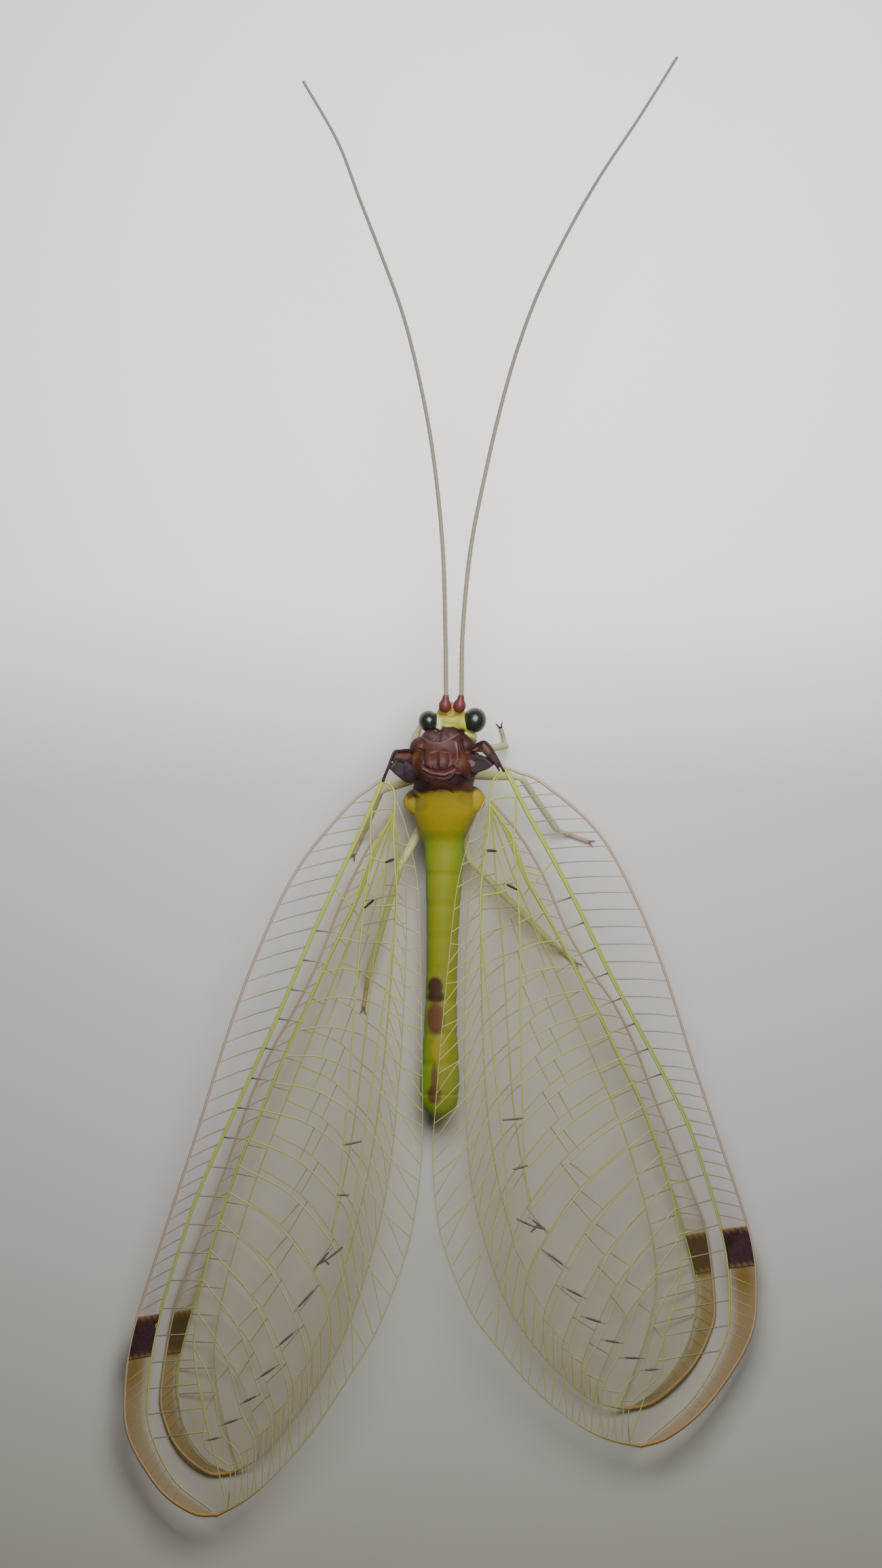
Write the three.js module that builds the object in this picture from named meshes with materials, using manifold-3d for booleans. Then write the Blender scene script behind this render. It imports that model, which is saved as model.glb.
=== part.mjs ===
// Green lacewing at rest, life size: two pairs of long veined wings, long feelers, six legs on the floor.
// Millimetres, +Z up, head towards +Y, the right side towards +X.
import * as THREE from "three";
import { mergeVertices } from "three/addons/utils/BufferGeometryUtils.js";
import Module from "manifold-3d";

const wasm = await Module();
wasm.setup();

// Driving sizes
const JOIN_GAP = 0.3; // left between two sub-parts that touch
const WING_THICK = 0.5;
const WING_LAYER = 0.92; // hindwing's middle below the forewing's middle
const VEIN_RISE = 0.12;
const VEIN_HALF_WIDTH = 0.13;
const FEELER_THICK = 0.45;
const LEG_THICK = 0.5;
const SOLE_SINK = 0.15; // foot's centre line over the floor, so that its underside is cut to a small flat
const BODY_SIDES = 18;
const LIMB_SIDES = 8;
const FRAME_SHIFT = new THREE.Vector3(0.125, 0.26, 0); // sets the origin under the animal's middle

const COLOURS = {
  headYellow: 0xc9c860,
  thoraxBrown: 0x5b302b,
  bodyGreen: 0x98a62c,
  eyeBlack: 0x23302a,
  scapeRed: 0x9a4650,
  feelerGrey: 0xa69f8c,
  legGreen: 0xb4bd6a,
  wingClear: 0xc9cfa2,
};

const finish = (colour, roughness, extra = {}) =>
  new THREE.MeshStandardMaterial({ color: colour, roughness, metalness: 0, ...extra });

const v3 = (p) => new THREE.Vector3(p[0], p[1], p[2]);

// Closed loft: each ring is { at: [x, y, z], w: half width, h: half height }, square to the path,
// or square to the body's length when upright.
function loft(rings, sides, upright = false) {
  const centres = rings.map((r) => v3(r.at));
  const positions = [];
  const up = new THREE.Vector3(0, 0, 1);
  let side = null;
  rings.forEach((ring, i) => {
    const ahead = centres[Math.min(i + 1, centres.length - 1)];
    const behind = centres[Math.max(i - 1, 0)];
    const onward = ahead.clone().sub(behind);
    if (upright) onward.set(0, Math.sign(onward.y), 0);
    const along = onward.normalize();
    const level = new THREE.Vector3().crossVectors(along, up);
    if (side === null) side = level.length() > 0.1 ? level.normalize() : new THREE.Vector3(1, 0, 0);
    side = side.clone().addScaledVector(along, -side.dot(along)).normalize();
    const lift = new THREE.Vector3().crossVectors(side, along).normalize();
    for (let k = 0; k < sides; k += 1) {
      const turn = (2 * Math.PI * k) / sides;
      const point = centres[i]
        .clone()
        .addScaledVector(side, ring.w * Math.cos(turn))
        .addScaledVector(lift, ring.h * Math.sin(turn));
      positions.push(point.x, point.y, point.z);
    }
  });
  const first = rings.length * sides;
  [centres[0], centres[centres.length - 1]].forEach((c) => positions.push(c.x, c.y, c.z));
  const faces = [];
  for (let i = 0; i + 1 < rings.length; i += 1) {
    for (let k = 0; k < sides; k += 1) {
      const next = (k + 1) % sides;
      const a = i * sides + k;
      const b = i * sides + next;
      const c = (i + 1) * sides + next;
      const d = (i + 1) * sides + k;
      faces.push(a, b, c, a, c, d);
    }
  }
  const last = (rings.length - 1) * sides;
  for (let k = 0; k < sides; k += 1) {
    const next = (k + 1) % sides;
    faces.push(first, next, k, first + 1, last + k, last + next);
  }
  return facing(positions, faces);
}

// A geometry from points and faces, turned so that its faces point out.
function facing(positions, faces) {
  let volume = 0;
  const p = (i) => new THREE.Vector3().fromArray(positions, 3 * i);
  for (let i = 0; i < faces.length; i += 3) {
    volume += p(faces[i]).dot(p(faces[i + 1]).cross(p(faces[i + 2])));
  }
  if (volume < 0) {
    for (let i = 0; i < faces.length; i += 3) [faces[i], faces[i + 1]] = [faces[i + 1], faces[i]];
  }
  return new THREE.BufferGeometry()
    .setAttribute("position", new THREE.Float32BufferAttribute(positions, 3))
    .setIndex(faces);
}

function solidOf(geometry) {
  const bare = geometry.clone();
  bare.deleteAttribute("normal");
  bare.deleteAttribute("uv");
  const merged = mergeVertices(bare, 1e-4);
  return new wasm.Manifold(
    new wasm.Mesh({
      numProp: 3,
      vertProperties: merged.attributes.position.array,
      triVerts: new Uint32Array(merged.index.array),
    }),
  );
}

// The largest closed body of a solid, as a geometry.
function geometryOf(solid) {
  const bodies = solid.decompose().sort((a, b) => b.volume() - a.volume());
  const mesh = bodies[0].getMesh();
  return new THREE.BufferGeometry()
    .setAttribute("position", new THREE.BufferAttribute(new Float32Array(mesh.vertProperties), 3))
    .setIndex(new THREE.BufferAttribute(new Uint32Array(mesh.triVerts), 1));
}

const joined = (geometries) =>
  geometryOf(geometries.map(solidOf).reduce((sum, piece) => sum.add(piece)));

const lacewing = new THREE.Group();

function node(name, geometry, material) {
  const mesh = new THREE.Mesh(geometry, material);
  mesh.name = name;
  mesh.position.copy(FRAME_SHIFT);
  lacewing.add(mesh);
}

// A tapering round limb or feeler through points, each [x, y, z], with a thickness for each point.
const limb = (points, thicks, sides = LIMB_SIDES) =>
  loft(points.map((at, i) => ({ at, w: thicks[i] / 2, h: thicks[i] / 2 })), sides);

// Thorax: three rings of plates; the front one is a small bilobed shield, the middle one bears the forewings
const PRONOTUM = { front: 1.34, back: 0.94, halfWide: 0.78, halfTall: 0.62, z: 2.8 };
const MESOTHORAX = {
  front: PRONOTUM.back - JOIN_GAP,
  back: -0.38,
  halfWide: 1.0,
  halfTall: 1.02,
  z: 2.78,
};
const METATHORAX = {
  front: MESOTHORAX.back - JOIN_GAP,
  back: -1.62,
  halfWide: 0.84,
  halfTall: 0.72,
  z: 2.28,
};

// Sizes of a thorax ring from its front to its back, as shares of its half width and half height, and a lift
const PRONOTUM_RINGS = [
  [0.6, 0.75, 0],
  [0.88, 0.95, 0.02],
  [1, 1, 0.02],
  [0.9, 0.92, 0],
];
const MESOTHORAX_RINGS = [
  [0.74, 0.72, -0.02],
  [0.96, 0.93, 0],
  [1, 1, 0.02],
  [0.94, 0.92, -0.02],
  [0.72, 0.72, -0.1],
];
const METATHORAX_RINGS = [
  [0.8, 0.78, 0.04],
  [1, 1, 0],
  [0.96, 0.95, -0.06],
  [0.78, 0.76, -0.16],
];

function thoraxRing(part, bulges) {
  const steps = bulges.length - 1;
  return loft(
    bulges.map(([wide, tall, lift], i) => ({
      at: [0, part.front + ((part.back - part.front) * i) / steps, part.z + lift],
      w: part.halfWide * wide,
      h: part.halfTall * tall,
    })),
    BODY_SIDES,
    true,
  );
}

// A low pad of the back plates, set into a thorax ring: its middle, and its half width, length and height.
function pad([x, y, z], [wide, long, tall]) {
  const place = new THREE.Matrix4().makeTranslation(x, y, z);
  return new THREE.SphereGeometry(1, 14, 8).applyMatrix4(place.scale(new THREE.Vector3(wide, long, tall)));
}

const thoraxFinish = finish(COLOURS.thoraxBrown, 0.45);
const lobes = [-1, 1];
node(
  "prothorax",
  joined([
    thoraxRing(PRONOTUM, PRONOTUM_RINGS),
    ...lobes.map((s) => pad([0.3 * s, PRONOTUM.front - 0.21, 3.28], [0.36, 0.17, 0.2])),
  ]),
  thoraxFinish,
);
node(
  "mesothorax",
  joined([
    thoraxRing(MESOTHORAX, MESOTHORAX_RINGS),
    ...lobes.map((s) => pad([0.4 * s, MESOTHORAX.front - 0.28, 3.6], [0.46, 0.32, 0.24])),
    pad([0, MESOTHORAX.back + 0.32, 3.58], [0.52, 0.28, 0.22]),
  ]),
  thoraxFinish,
);
node(
  "metathorax",
  joined([
    thoraxRing(METATHORAX, METATHORAX_RINGS),
    ...lobes.map((s) => pad([0.36 * s, METATHORAX.front - 0.34, 2.84], [0.3, 0.26, 0.2])),
  ]),
  thoraxFinish,
);

// Abdomen: nine rings with a shallow groove at each joint, slightly clubbed at the end
const ABDOMEN = {
  front: METATHORAX.back - JOIN_GAP,
  back: -10.1,
  z: 1.84,
  drop: 0.72,
  rings: 9,
  groove: 0.93,
};
const abdomenHalfWide = (t) => 0.6 - 0.13 * Math.sin(Math.PI * Math.min(1, t * 1.25)) + 0.06 * t;
const abdomenX = (t) => -0.16 * t;

function abdomen() {
  const perRing = 3;
  const rows = ABDOMEN.rings * perRing;
  const rings = [];
  for (let i = 0; i <= rows; i += 1) {
    const t = i / rows;
    const inGroove = i % perRing === 0 && i > 0 && i < rows;
    const shrink = inGroove ? ABDOMEN.groove : 1;
    const tipRound = i === rows ? 0.45 : i === rows - 1 ? 0.82 : 1;
    const half = abdomenHalfWide(t) * shrink * tipRound;
    rings.push({
      at: [abdomenX(t), ABDOMEN.front + (ABDOMEN.back - ABDOMEN.front) * t, ABDOMEN.z - ABDOMEN.drop * t],
      w: half,
      h: half * 0.92,
    });
  }
  rings[0].w *= 0.86;
  rings[0].h *= 0.86;
  return loft(rings, BODY_SIDES, true);
}
node("abdomen", abdomen(), finish(COLOURS.bodyGreen, 0.5));

// Feelers: a stout red scape on the brow, then a hair-fine whip nearly as long as the wing
const SCAPE = { y: 2.08, length: 0.42, z: 3.5, thick: 0.4 };
const FEELERS = {
  left: {
    scapeX: -0.15,
    route: [
      [-0.13, 4.3], [-0.13, 6.95], [-0.34, 9.6], [-0.7, 11.7], [-1.21, 13.8],
      [-1.87, 15.63], [-2.53, 17.32], [-3.18, 19.0], [-4.2, 20.77],
    ],
  },
  right: {
    scapeX: 0.57,
    route: [
      [0.62, 4.5], [0.8, 6.95], [1.23, 9.2], [1.69, 11.17], [2.22, 13.0],
      [2.87, 14.7], [3.79, 16.54], [4.71, 18.1], [5.76, 19.66], [6.92, 21.49],
    ],
  },
};

const scape = (x, spare = 0) =>
  limb(
    [
      [x, SCAPE.y - spare, SCAPE.z],
      [x, SCAPE.y + 0.14, SCAPE.z],
      [x, SCAPE.y + SCAPE.length - 0.1, SCAPE.z],
      [x, SCAPE.y + SCAPE.length, SCAPE.z],
    ],
    [0.34, SCAPE.thick, SCAPE.thick * 0.95, 0.3].map((t) => t + 2 * spare),
    12,
  );

// Head: a short capsule between two round eyes, the mouth turned down, a palp at each side of it
const EYE = { radius: 0.36, left: [-0.62, 1.94, 2.9], right: [1.02, 1.94, 2.9], gap: 0.3 };
const HEAD = { x: 0.2, back: PRONOTUM.front + JOIN_GAP, front: 2.38 };
const MOUTH = [[HEAD.x, 2.04, 2.35], [HEAD.x, 2.2, 2.0], [HEAD.x, 2.24, 1.66]];
const PALP = [[0.2, 2.1, 2.1], [0.42, 2.32, 1.86], [0.46, 2.48, 1.5], [0.4, 2.52, 1.2]]; // x from HEAD.x
const eyeBall = (centre, radius) =>
  new THREE.SphereGeometry(radius, 20, 12).translate(centre[0], centre[1], centre[2]);

function head() {
  const rings = [
    { at: [HEAD.x, HEAD.back, 2.85], w: 0.5, h: 0.46 },
    { at: [HEAD.x, HEAD.back + 0.12, 2.83], w: 0.72, h: 0.62 },
    { at: [HEAD.x, HEAD.back + 0.32, 2.76], w: 0.76, h: 0.7 },
    { at: [HEAD.x, HEAD.front - 0.18, 2.62], w: 0.56, h: 0.6 },
    { at: [HEAD.x, HEAD.front, 2.46], w: 0.3, h: 0.38 },
  ];
  const palps = [-1, 1].map((s) =>
    limb(
      PALP.map(([x, y, z]) => [HEAD.x + x * s, y, z]),
      [0.3, 0.3, 0.28, 0.14],
      6,
    ),
  );
  const pieces = [loft(rings, BODY_SIDES, true), limb(MOUTH, [0.74, 0.6, 0.34], 10), ...palps];
  const sockets = [
    eyeBall(EYE.left, EYE.radius + EYE.gap),
    eyeBall(EYE.right, EYE.radius + EYE.gap),
    scape(FEELERS.left.scapeX, JOIN_GAP),
    scape(FEELERS.right.scapeX, JOIN_GAP),
  ];
  const whole = pieces.map(solidOf).reduce((sum, piece) => sum.add(piece));
  return geometryOf(sockets.map(solidOf).reduce((rest, socket) => rest.subtract(socket), whole));
}
node("head", head(), finish(COLOURS.headYellow, 0.45));
node("eye_left", eyeBall(EYE.left, EYE.radius), finish(COLOURS.eyeBlack, 0.12));
node("eye_right", eyeBall(EYE.right, EYE.radius), finish(COLOURS.eyeBlack, 0.12));

const FEELER_RISE = 3.2;
const FEELER_STEPS = 26;
const FEELER_TAPER = [1, 0.76, 0.52]; // thickness at the last steps

for (const [side, feeler] of Object.entries(FEELERS)) {
  node(`scape_${side}`, scape(feeler.scapeX), finish(COLOURS.scapeRed, 0.4));
  const points = [[feeler.scapeX, SCAPE.y + SCAPE.length + JOIN_GAP], ...feeler.route];
  const rise = (i) => FEELER_RISE * Math.pow(i / (points.length - 1), 1.5);
  const curve = new THREE.CatmullRomCurve3(
    points.map(([x, y], i) => new THREE.Vector3(x, y, SCAPE.z + rise(i))),
  );
  const along = curve.getSpacedPoints(FEELER_STEPS).map((p) => p.toArray());
  const whole = along.length - FEELER_TAPER.length;
  const thicks = along.map((_, i) => FEELER_THICK * (i < whole ? 1 : FEELER_TAPER[i - whole]));
  node(`antenna_${side}`, limb(along, thicks), finish(COLOURS.feelerGrey, 0.6));
}

// Wings: a flat membrane in the wing's own outline, its main veins raised as ridges in its surface
// Outlines are of the right wings, out from the body and back towards the tail.
const FOREWING = {
  root: [1.78, 0.37],
  tip: [5.9, -20.06],
  costa: [
    [1.82, 0.44], [2.95, -0.1], [4.58, -1.53], [5.74, -3.57], [6.63, -5.81], [7.45, -8.4],
    [8.27, -10.83], [9.2, -13.7], [9.39, -15.5], [9.13, -16.97], [7.96, -18.76], [6.75, -19.78],
  ],
  rear: [
    [1.55, 0.02], [0.95, -1.2], [0.42, -3], [0.12, -5.5], [-0.12, -8], [-0.32, -10.5], [-0.34, -11.64],
    [-0.24, -12.82], [0.0, -14.06], [0.75, -15.87], [1.61, -17.04], [2.77, -18.38], [3.96, -19.34],
    [4.85, -19.8], [5.5, -19.98],
  ],
  radius: [
    [1.7, 0.2], [2.44, -0.92], [3.19, -2.28], [3.97, -3.77], [4.95, -5.81], [5.71, -7.24], [7.1, -9.9],
    [7.66, -11.34], [8.42, -13.9], [8.59, -15.75], [8.41, -16.98], [7.5, -18.6], [6.2, -19.8],
  ],
};
const HINDWING = {
  root: [1.4, -0.72],
  tip: [5.53, -18.96],
  costa: [
    [1.5, -0.66], [2.24, -1.63], [2.96, -2.85], [3.67, -4.49], [4.39, -5.72], [5.11, -6.74], [5.72, -7.97],
    [6.34, -9.61], [7.37, -12.18], [7.89, -13.62], [8.16, -15.78], [7.99, -16.75], [7.4, -17.8],
    [6.33, -18.78],
  ],
  rear: [
    [1.3, -0.92], [0.95, -2.2], [0.7, -4], [0.6, -7], [0.62, -9.5], [0.8, -12], [1.25, -14],
    [1.95, -15.9], [3.0, -17.4], [4.3, -18.6], [5.1, -18.9],
  ],
  radius: [
    [1.38, -0.8], [1.83, -1.53], [2.38, -2.85], [2.96, -3.87], [3.67, -5.2], [4.49, -6.74], [5.25, -8.38],
    [6.03, -10.02], [7.06, -13.1], [7.52, -14.75], [7.6, -15.78], [7.3, -17.1], [6.5, -18.3], [5.6, -18.9],
  ],
};
const REAR_VEINS = [0.17, 0.42, 0.66]; // share of the way from the radius vein to the rear edge
const WING_ROWS = 30;

// How each side's wings are carried: the left pair is drawn back further and leans more steeply.
const CARRIAGE = {
  right: { root: [1.78, 0.37], across: [1, 0], back: [0, 1], lean: 0.17, droop: 0.097 },
  left: {
    root: [-1.8, 0.04],
    across: [-0.888, 0.067],
    back: [-0.2735, 1.03],
    lean: 0.165,
    droop: 0.085,
  },
};
const ROOF = 4.0; // height of the forewings' middle over the body's midline

function carried(side, [x, y], layer) {
  const c = CARRIAGE[side];
  const dx = x - FOREWING.root[0];
  const dy = y - FOREWING.root[1];
  const px = c.root[0] + c.across[0] * dx + c.across[1] * dy;
  const py = c.root[1] + c.back[0] * dx + c.back[1] * dy;
  return [px, py, ROOF - c.lean * Math.abs(px) - c.droop * Math.max(0, -py) - layer * WING_LAYER];
}

// Where a curve through the points crosses the line square to the wing's axis at distance s from its root.
function crossing(wing, points) {
  const flat = new THREE.SplineCurve(points.map((p) => new THREE.Vector2(...p))).getPoints(240);
  const root = new THREE.Vector2(...wing.root);
  const axis = new THREE.Vector2(...wing.tip).sub(root).normalize();
  const reach = flat.map((p) => p.clone().sub(root).dot(axis));
  return (s) => {
    let i = 1;
    while (i < reach.length - 1 && reach[i] < s) i += 1;
    const t = THREE.MathUtils.clamp((s - reach[i - 1]) / (reach[i] - reach[i - 1] || 1), 0, 1);
    return flat[i - 1].clone().lerp(flat[i], t).toArray();
  };
}

function wing(shape, side, layer) {
  const length = Math.hypot(shape.tip[0] - shape.root[0], shape.tip[1] - shape.root[1]);
  const [costa, rear, radius] = [shape.costa, shape.rear, shape.radius].map((c) => crossing(shape, c));
  const mix = (a, b, t) => [a[0] + (b[0] - a[0]) * t, a[1] + (b[1] - a[1]) * t];
  const rows = [];
  for (let i = 0; i <= WING_ROWS; i += 1) {
    const u = i / WING_ROWS;
    const s = length * (0.004 + 0.991 * (1 - Math.pow(1 - u, 1.3)));
    const c = costa(s);
    const r = rear(s);
    const chord = Math.hypot(c[0] - r[0], c[1] - r[1]);
    const half = Math.min(VEIN_HALF_WIDTH, chord * 0.035) / chord;
    const raw = radius(s);
    const toRadius = THREE.MathUtils.clamp(Math.hypot(raw[0] - c[0], raw[1] - c[1]) / chord, 0.06, 0.5);
    const veins = [toRadius, ...REAR_VEINS.map((f) => toRadius + (1 - toRadius) * f)];
    const columns = [[0, 0.5]];
    veins.forEach((f) => columns.push([f - half, 0], [f, 1], [f + half, 0]));
    columns.push([1, 0.3]);
    rows.push(columns.map(([f, rise]) => ({ at: mix(c, r, f), rise })));
  }
  return sheet(rows, side, layer);
}

// A closed sheet from rows of points: the upper face carries the ridges. The hindwing's lower face flattens
// where it meets the floor, and the forewing keeps its distance above that.
function sheet(rows, side, layer) {
  const across = rows[0].length;
  const count = rows.length * across;
  const upper = [];
  const lower = [];
  rows.flat().forEach(({ at, rise }) => {
    const [x, y, z] = carried(side, at, layer);
    const bottom = Math.max(layer === 1 ? 0 : WING_LAYER, z - WING_THICK / 2);
    upper.push(x, y, bottom + WING_THICK + VEIN_RISE * rise);
    lower.push(x, y, bottom);
  });
  const faces = [];
  const quad = (a, b, c, d) => faces.push(a, b, c, a, c, d);
  for (let i = 0; i + 1 < rows.length; i += 1) {
    for (let k = 0; k + 1 < across; k += 1) {
      const a = i * across + k;
      const b = a + 1;
      const d = a + across;
      const c = d + 1;
      faces.push(a, b, c, a, c, d, a + count, c + count, b + count, a + count, d + count, c + count);
    }
    const l = i * across;
    const r = l + across - 1;
    quad(l, l + across, l + across + count, l + count);
    quad(r + across, r, r + count, r + across + count);
  }
  const tail = (rows.length - 1) * across;
  for (let k = 0; k + 1 < across; k += 1) {
    quad(k + 1, k, k + count, k + 1 + count);
    quad(tail + k, tail + k + 1, tail + k + 1 + count, tail + k + count);
  }
  return facing([...upper, ...lower], faces);
}

// The short dark hinge that carries the wing out from the thorax's side.
function hinge(side, part, y, root, layer, thick) {
  const s = side === "right" ? 1 : -1;
  const near = s * (part.halfWide + JOIN_GAP);
  const [x, back, height] = carried(side, root, layer);
  const stops = [
    [near, y, height],
    [(near + x) / 2, (y + back) / 2, height + 0.02],
    [x + 0.25 * s, back - 0.25, height],
  ];
  return limb(stops, [thick, thick, thick * 0.8]);
}

const wingFinish = finish(COLOURS.wingClear, 0.25, { transparent: true, opacity: 0.5 });
for (const side of ["left", "right"]) {
  const foreHinge = hinge(side, MESOTHORAX, 0.2, FOREWING.root, 0, 0.55);
  node(`forewing_${side}`, joined([wing(FOREWING, side, 0), foreHinge]), wingFinish);
  const hindHinge = hinge(side, METATHORAX, -0.95, HINDWING.root, 1, 0.5);
  node(`hindwing_${side}`, joined([wing(HINDWING, side, 1), hindHinge]), wingFinish);
}

// Legs: thigh from the underside of the thorax to the knee, then shin and foot to a small flat on the floor
const LEGS = {
  front_right: { hip: [0.42, 1.14], knee: [1.3, 0.95, 1.8], ankle: [1.86, 1.06, 0.5], toe: [1.76, 1.72] },
  front_left: { hip: [-0.42, 1.14], knee: [-0.95, 0.86, 1.1], ankle: [-0.86, 1.4, 0.5], toe: [-0.55, 2.02] },
  mid_right: { hip: [0.5, 0.2], knee: [2.3, 0.1, 2.2], ankle: [3.4, -1.5, 0.5], toe: [4.4, -1.87] },
  mid_left: { hip: [-0.5, 0.2], knee: [-1.9, -0.3, 2.1], ankle: [-2.4, -1.5, 0.5], toe: [-2.75, -2.3] },
  hind_right: { hip: [0.42, -0.92], knee: [0.75, -2.4, 0.98], ankle: [3.3, -4.96, 0.5], toe: [4.02, -5.58] },
  hind_left: { hip: [-0.42, -0.92], knee: [-1.35, -2.6, 1.6], ankle: [-2.3, -5.9, 0.5], toe: [-2.44, -6.95] },
};
const THORAX_OF = { front: PRONOTUM, mid: MESOTHORAX, hind: METATHORAX };
const legFinish = finish(COLOURS.legGreen, 0.5);

const between = (a, b, t) => a.map((v, i) => v + (b[i] - v) * t);

for (const [name, leg] of Object.entries(LEGS)) {
  const ring = THORAX_OF[name.split("_")[0]];
  const lean = Math.sqrt(1 - (leg.hip[0] / ring.halfWide) ** 2);
  const under = ring.z - ring.halfTall * lean - JOIN_GAP - 0.06;
  const hip = [leg.hip[0], leg.hip[1], under];
  const coxa = [hip[0] * 1.15, hip[1] - 0.02, hip[2] - 0.32];
  const mid = between(coxa, leg.knee, 0.5);
  node(
    `leg_${name}_thigh`,
    limb([hip, coxa, mid, leg.knee], [LEG_THICK, LEG_THICK, LEG_THICK, LEG_THICK * 0.8]),
    legFinish,
  );
  const reach = new THREE.Vector3(...leg.ankle).sub(new THREE.Vector3(...leg.knee)).normalize();
  const start = leg.knee.map((v, i) => v + reach.toArray()[i] * (JOIN_GAP + 0.26));
  const toe = [leg.toe[0], leg.toe[1], SOLE_SINK];
  const footMid = between([leg.ankle[0], leg.ankle[1], SOLE_SINK], toe, 0.45);
  const shin = limb(
    [start, between(start, leg.ankle, 0.5), leg.ankle, footMid, toe],
    [LEG_THICK * 0.84, LEG_THICK * 0.84, LEG_THICK * 0.8, LEG_THICK * 0.78, LEG_THICK * 0.7],
  );
  const floor = solidOf(new THREE.BoxGeometry(60, 60, 10).translate(0, 0, -5));
  node(`leg_${name}_shin`, geometryOf(solidOf(shin).subtract(floor)), legFinish);
}

export default lacewing;
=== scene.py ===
import math

import bmesh
import bpy
import numpy as np
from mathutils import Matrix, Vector


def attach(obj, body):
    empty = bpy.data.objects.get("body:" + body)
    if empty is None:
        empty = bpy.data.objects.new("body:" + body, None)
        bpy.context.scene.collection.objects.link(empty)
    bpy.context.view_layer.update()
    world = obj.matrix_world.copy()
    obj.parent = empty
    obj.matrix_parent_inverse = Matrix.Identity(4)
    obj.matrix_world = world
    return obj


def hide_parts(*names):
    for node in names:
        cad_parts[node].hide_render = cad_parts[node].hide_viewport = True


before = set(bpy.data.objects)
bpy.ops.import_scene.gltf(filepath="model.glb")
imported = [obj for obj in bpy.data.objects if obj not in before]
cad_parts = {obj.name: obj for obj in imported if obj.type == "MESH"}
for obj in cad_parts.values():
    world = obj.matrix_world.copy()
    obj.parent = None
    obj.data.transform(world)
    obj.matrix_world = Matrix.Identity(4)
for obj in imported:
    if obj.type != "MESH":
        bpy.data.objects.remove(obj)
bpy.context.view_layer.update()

# Body skin: one coat of chitin from the brow over the three thorax rings to the tip of the abdomen.
# Red-brown and satin on the thorax, ochre behind it and soft green along the abdomen.
# Rounded plates are fused into a lofted trunk, then ridges and grooves are raised and painted along strokes;
# the pale pink lines on the thorax ridges are painted highlights.
MM = 0.001
BODY_CENTRE = Vector((0.125, 0.26, 0))  # from the frame's origin to the middle of the wing roots, in mm
SKIN_VOXEL, SKIN_EASING = 0.029, 4
TRUNK_ROWS, TRUNK_SIDES = 220, 40
TRUNK = [  # y, x, z, half width, half height
    (2.00, 0.18, 2.78, 0.34, 0.36),
    (1.70, 0.13, 2.80, 0.40, 0.40),
    (1.50, 0.02, 2.82, 0.44, 0.46),
    (1.36, -0.02, 2.83, 0.60, 0.54),
    (1.20, -0.04, 2.81, 0.80, 0.62),
    (1.00, -0.06, 2.79, 0.92, 0.70),
    (0.72, -0.06, 2.78, 0.97, 0.82),
    (0.40, -0.04, 2.78, 0.98, 0.94),
    (0.10, -0.03, 2.77, 0.95, 0.98),
    (-0.20, -0.02, 2.70, 0.88, 0.90),
    (-0.50, 0.00, 2.54, 0.86, 0.78),
    (-0.80, 0.00, 2.38, 0.94, 0.74),
    (-1.10, 0.00, 2.24, 0.93, 0.70),
    (-1.50, -0.02, 2.06, 0.77, 0.62),
    (-1.90, -0.02, 1.88, 0.60, 0.54),
    (-2.60, -0.01, 1.78, 0.57, 0.53),
    (-4.40, -0.05, 1.62, 0.49, 0.46),
    (-6.20, -0.09, 1.46, 0.47, 0.44),
    (-7.80, -0.12, 1.32, 0.52, 0.49),
    (-8.90, -0.14, 1.22, 0.59, 0.53),
    (-9.60, -0.16, 1.16, 0.57, 0.50),
    (-9.98, -0.16, 1.13, 0.40, 0.36),
    (-10.12, -0.16, 1.12, 0.16, 0.16),
]
ABDOMEN_RINGS, ABDOMEN_FRONT, ABDOMEN_BACK = 8, -1.95, -9.5
CREASE_DEPTH, CREASE_WIDTH = 0.06, 0.09  # as shares of the half size and of a ring
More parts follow.
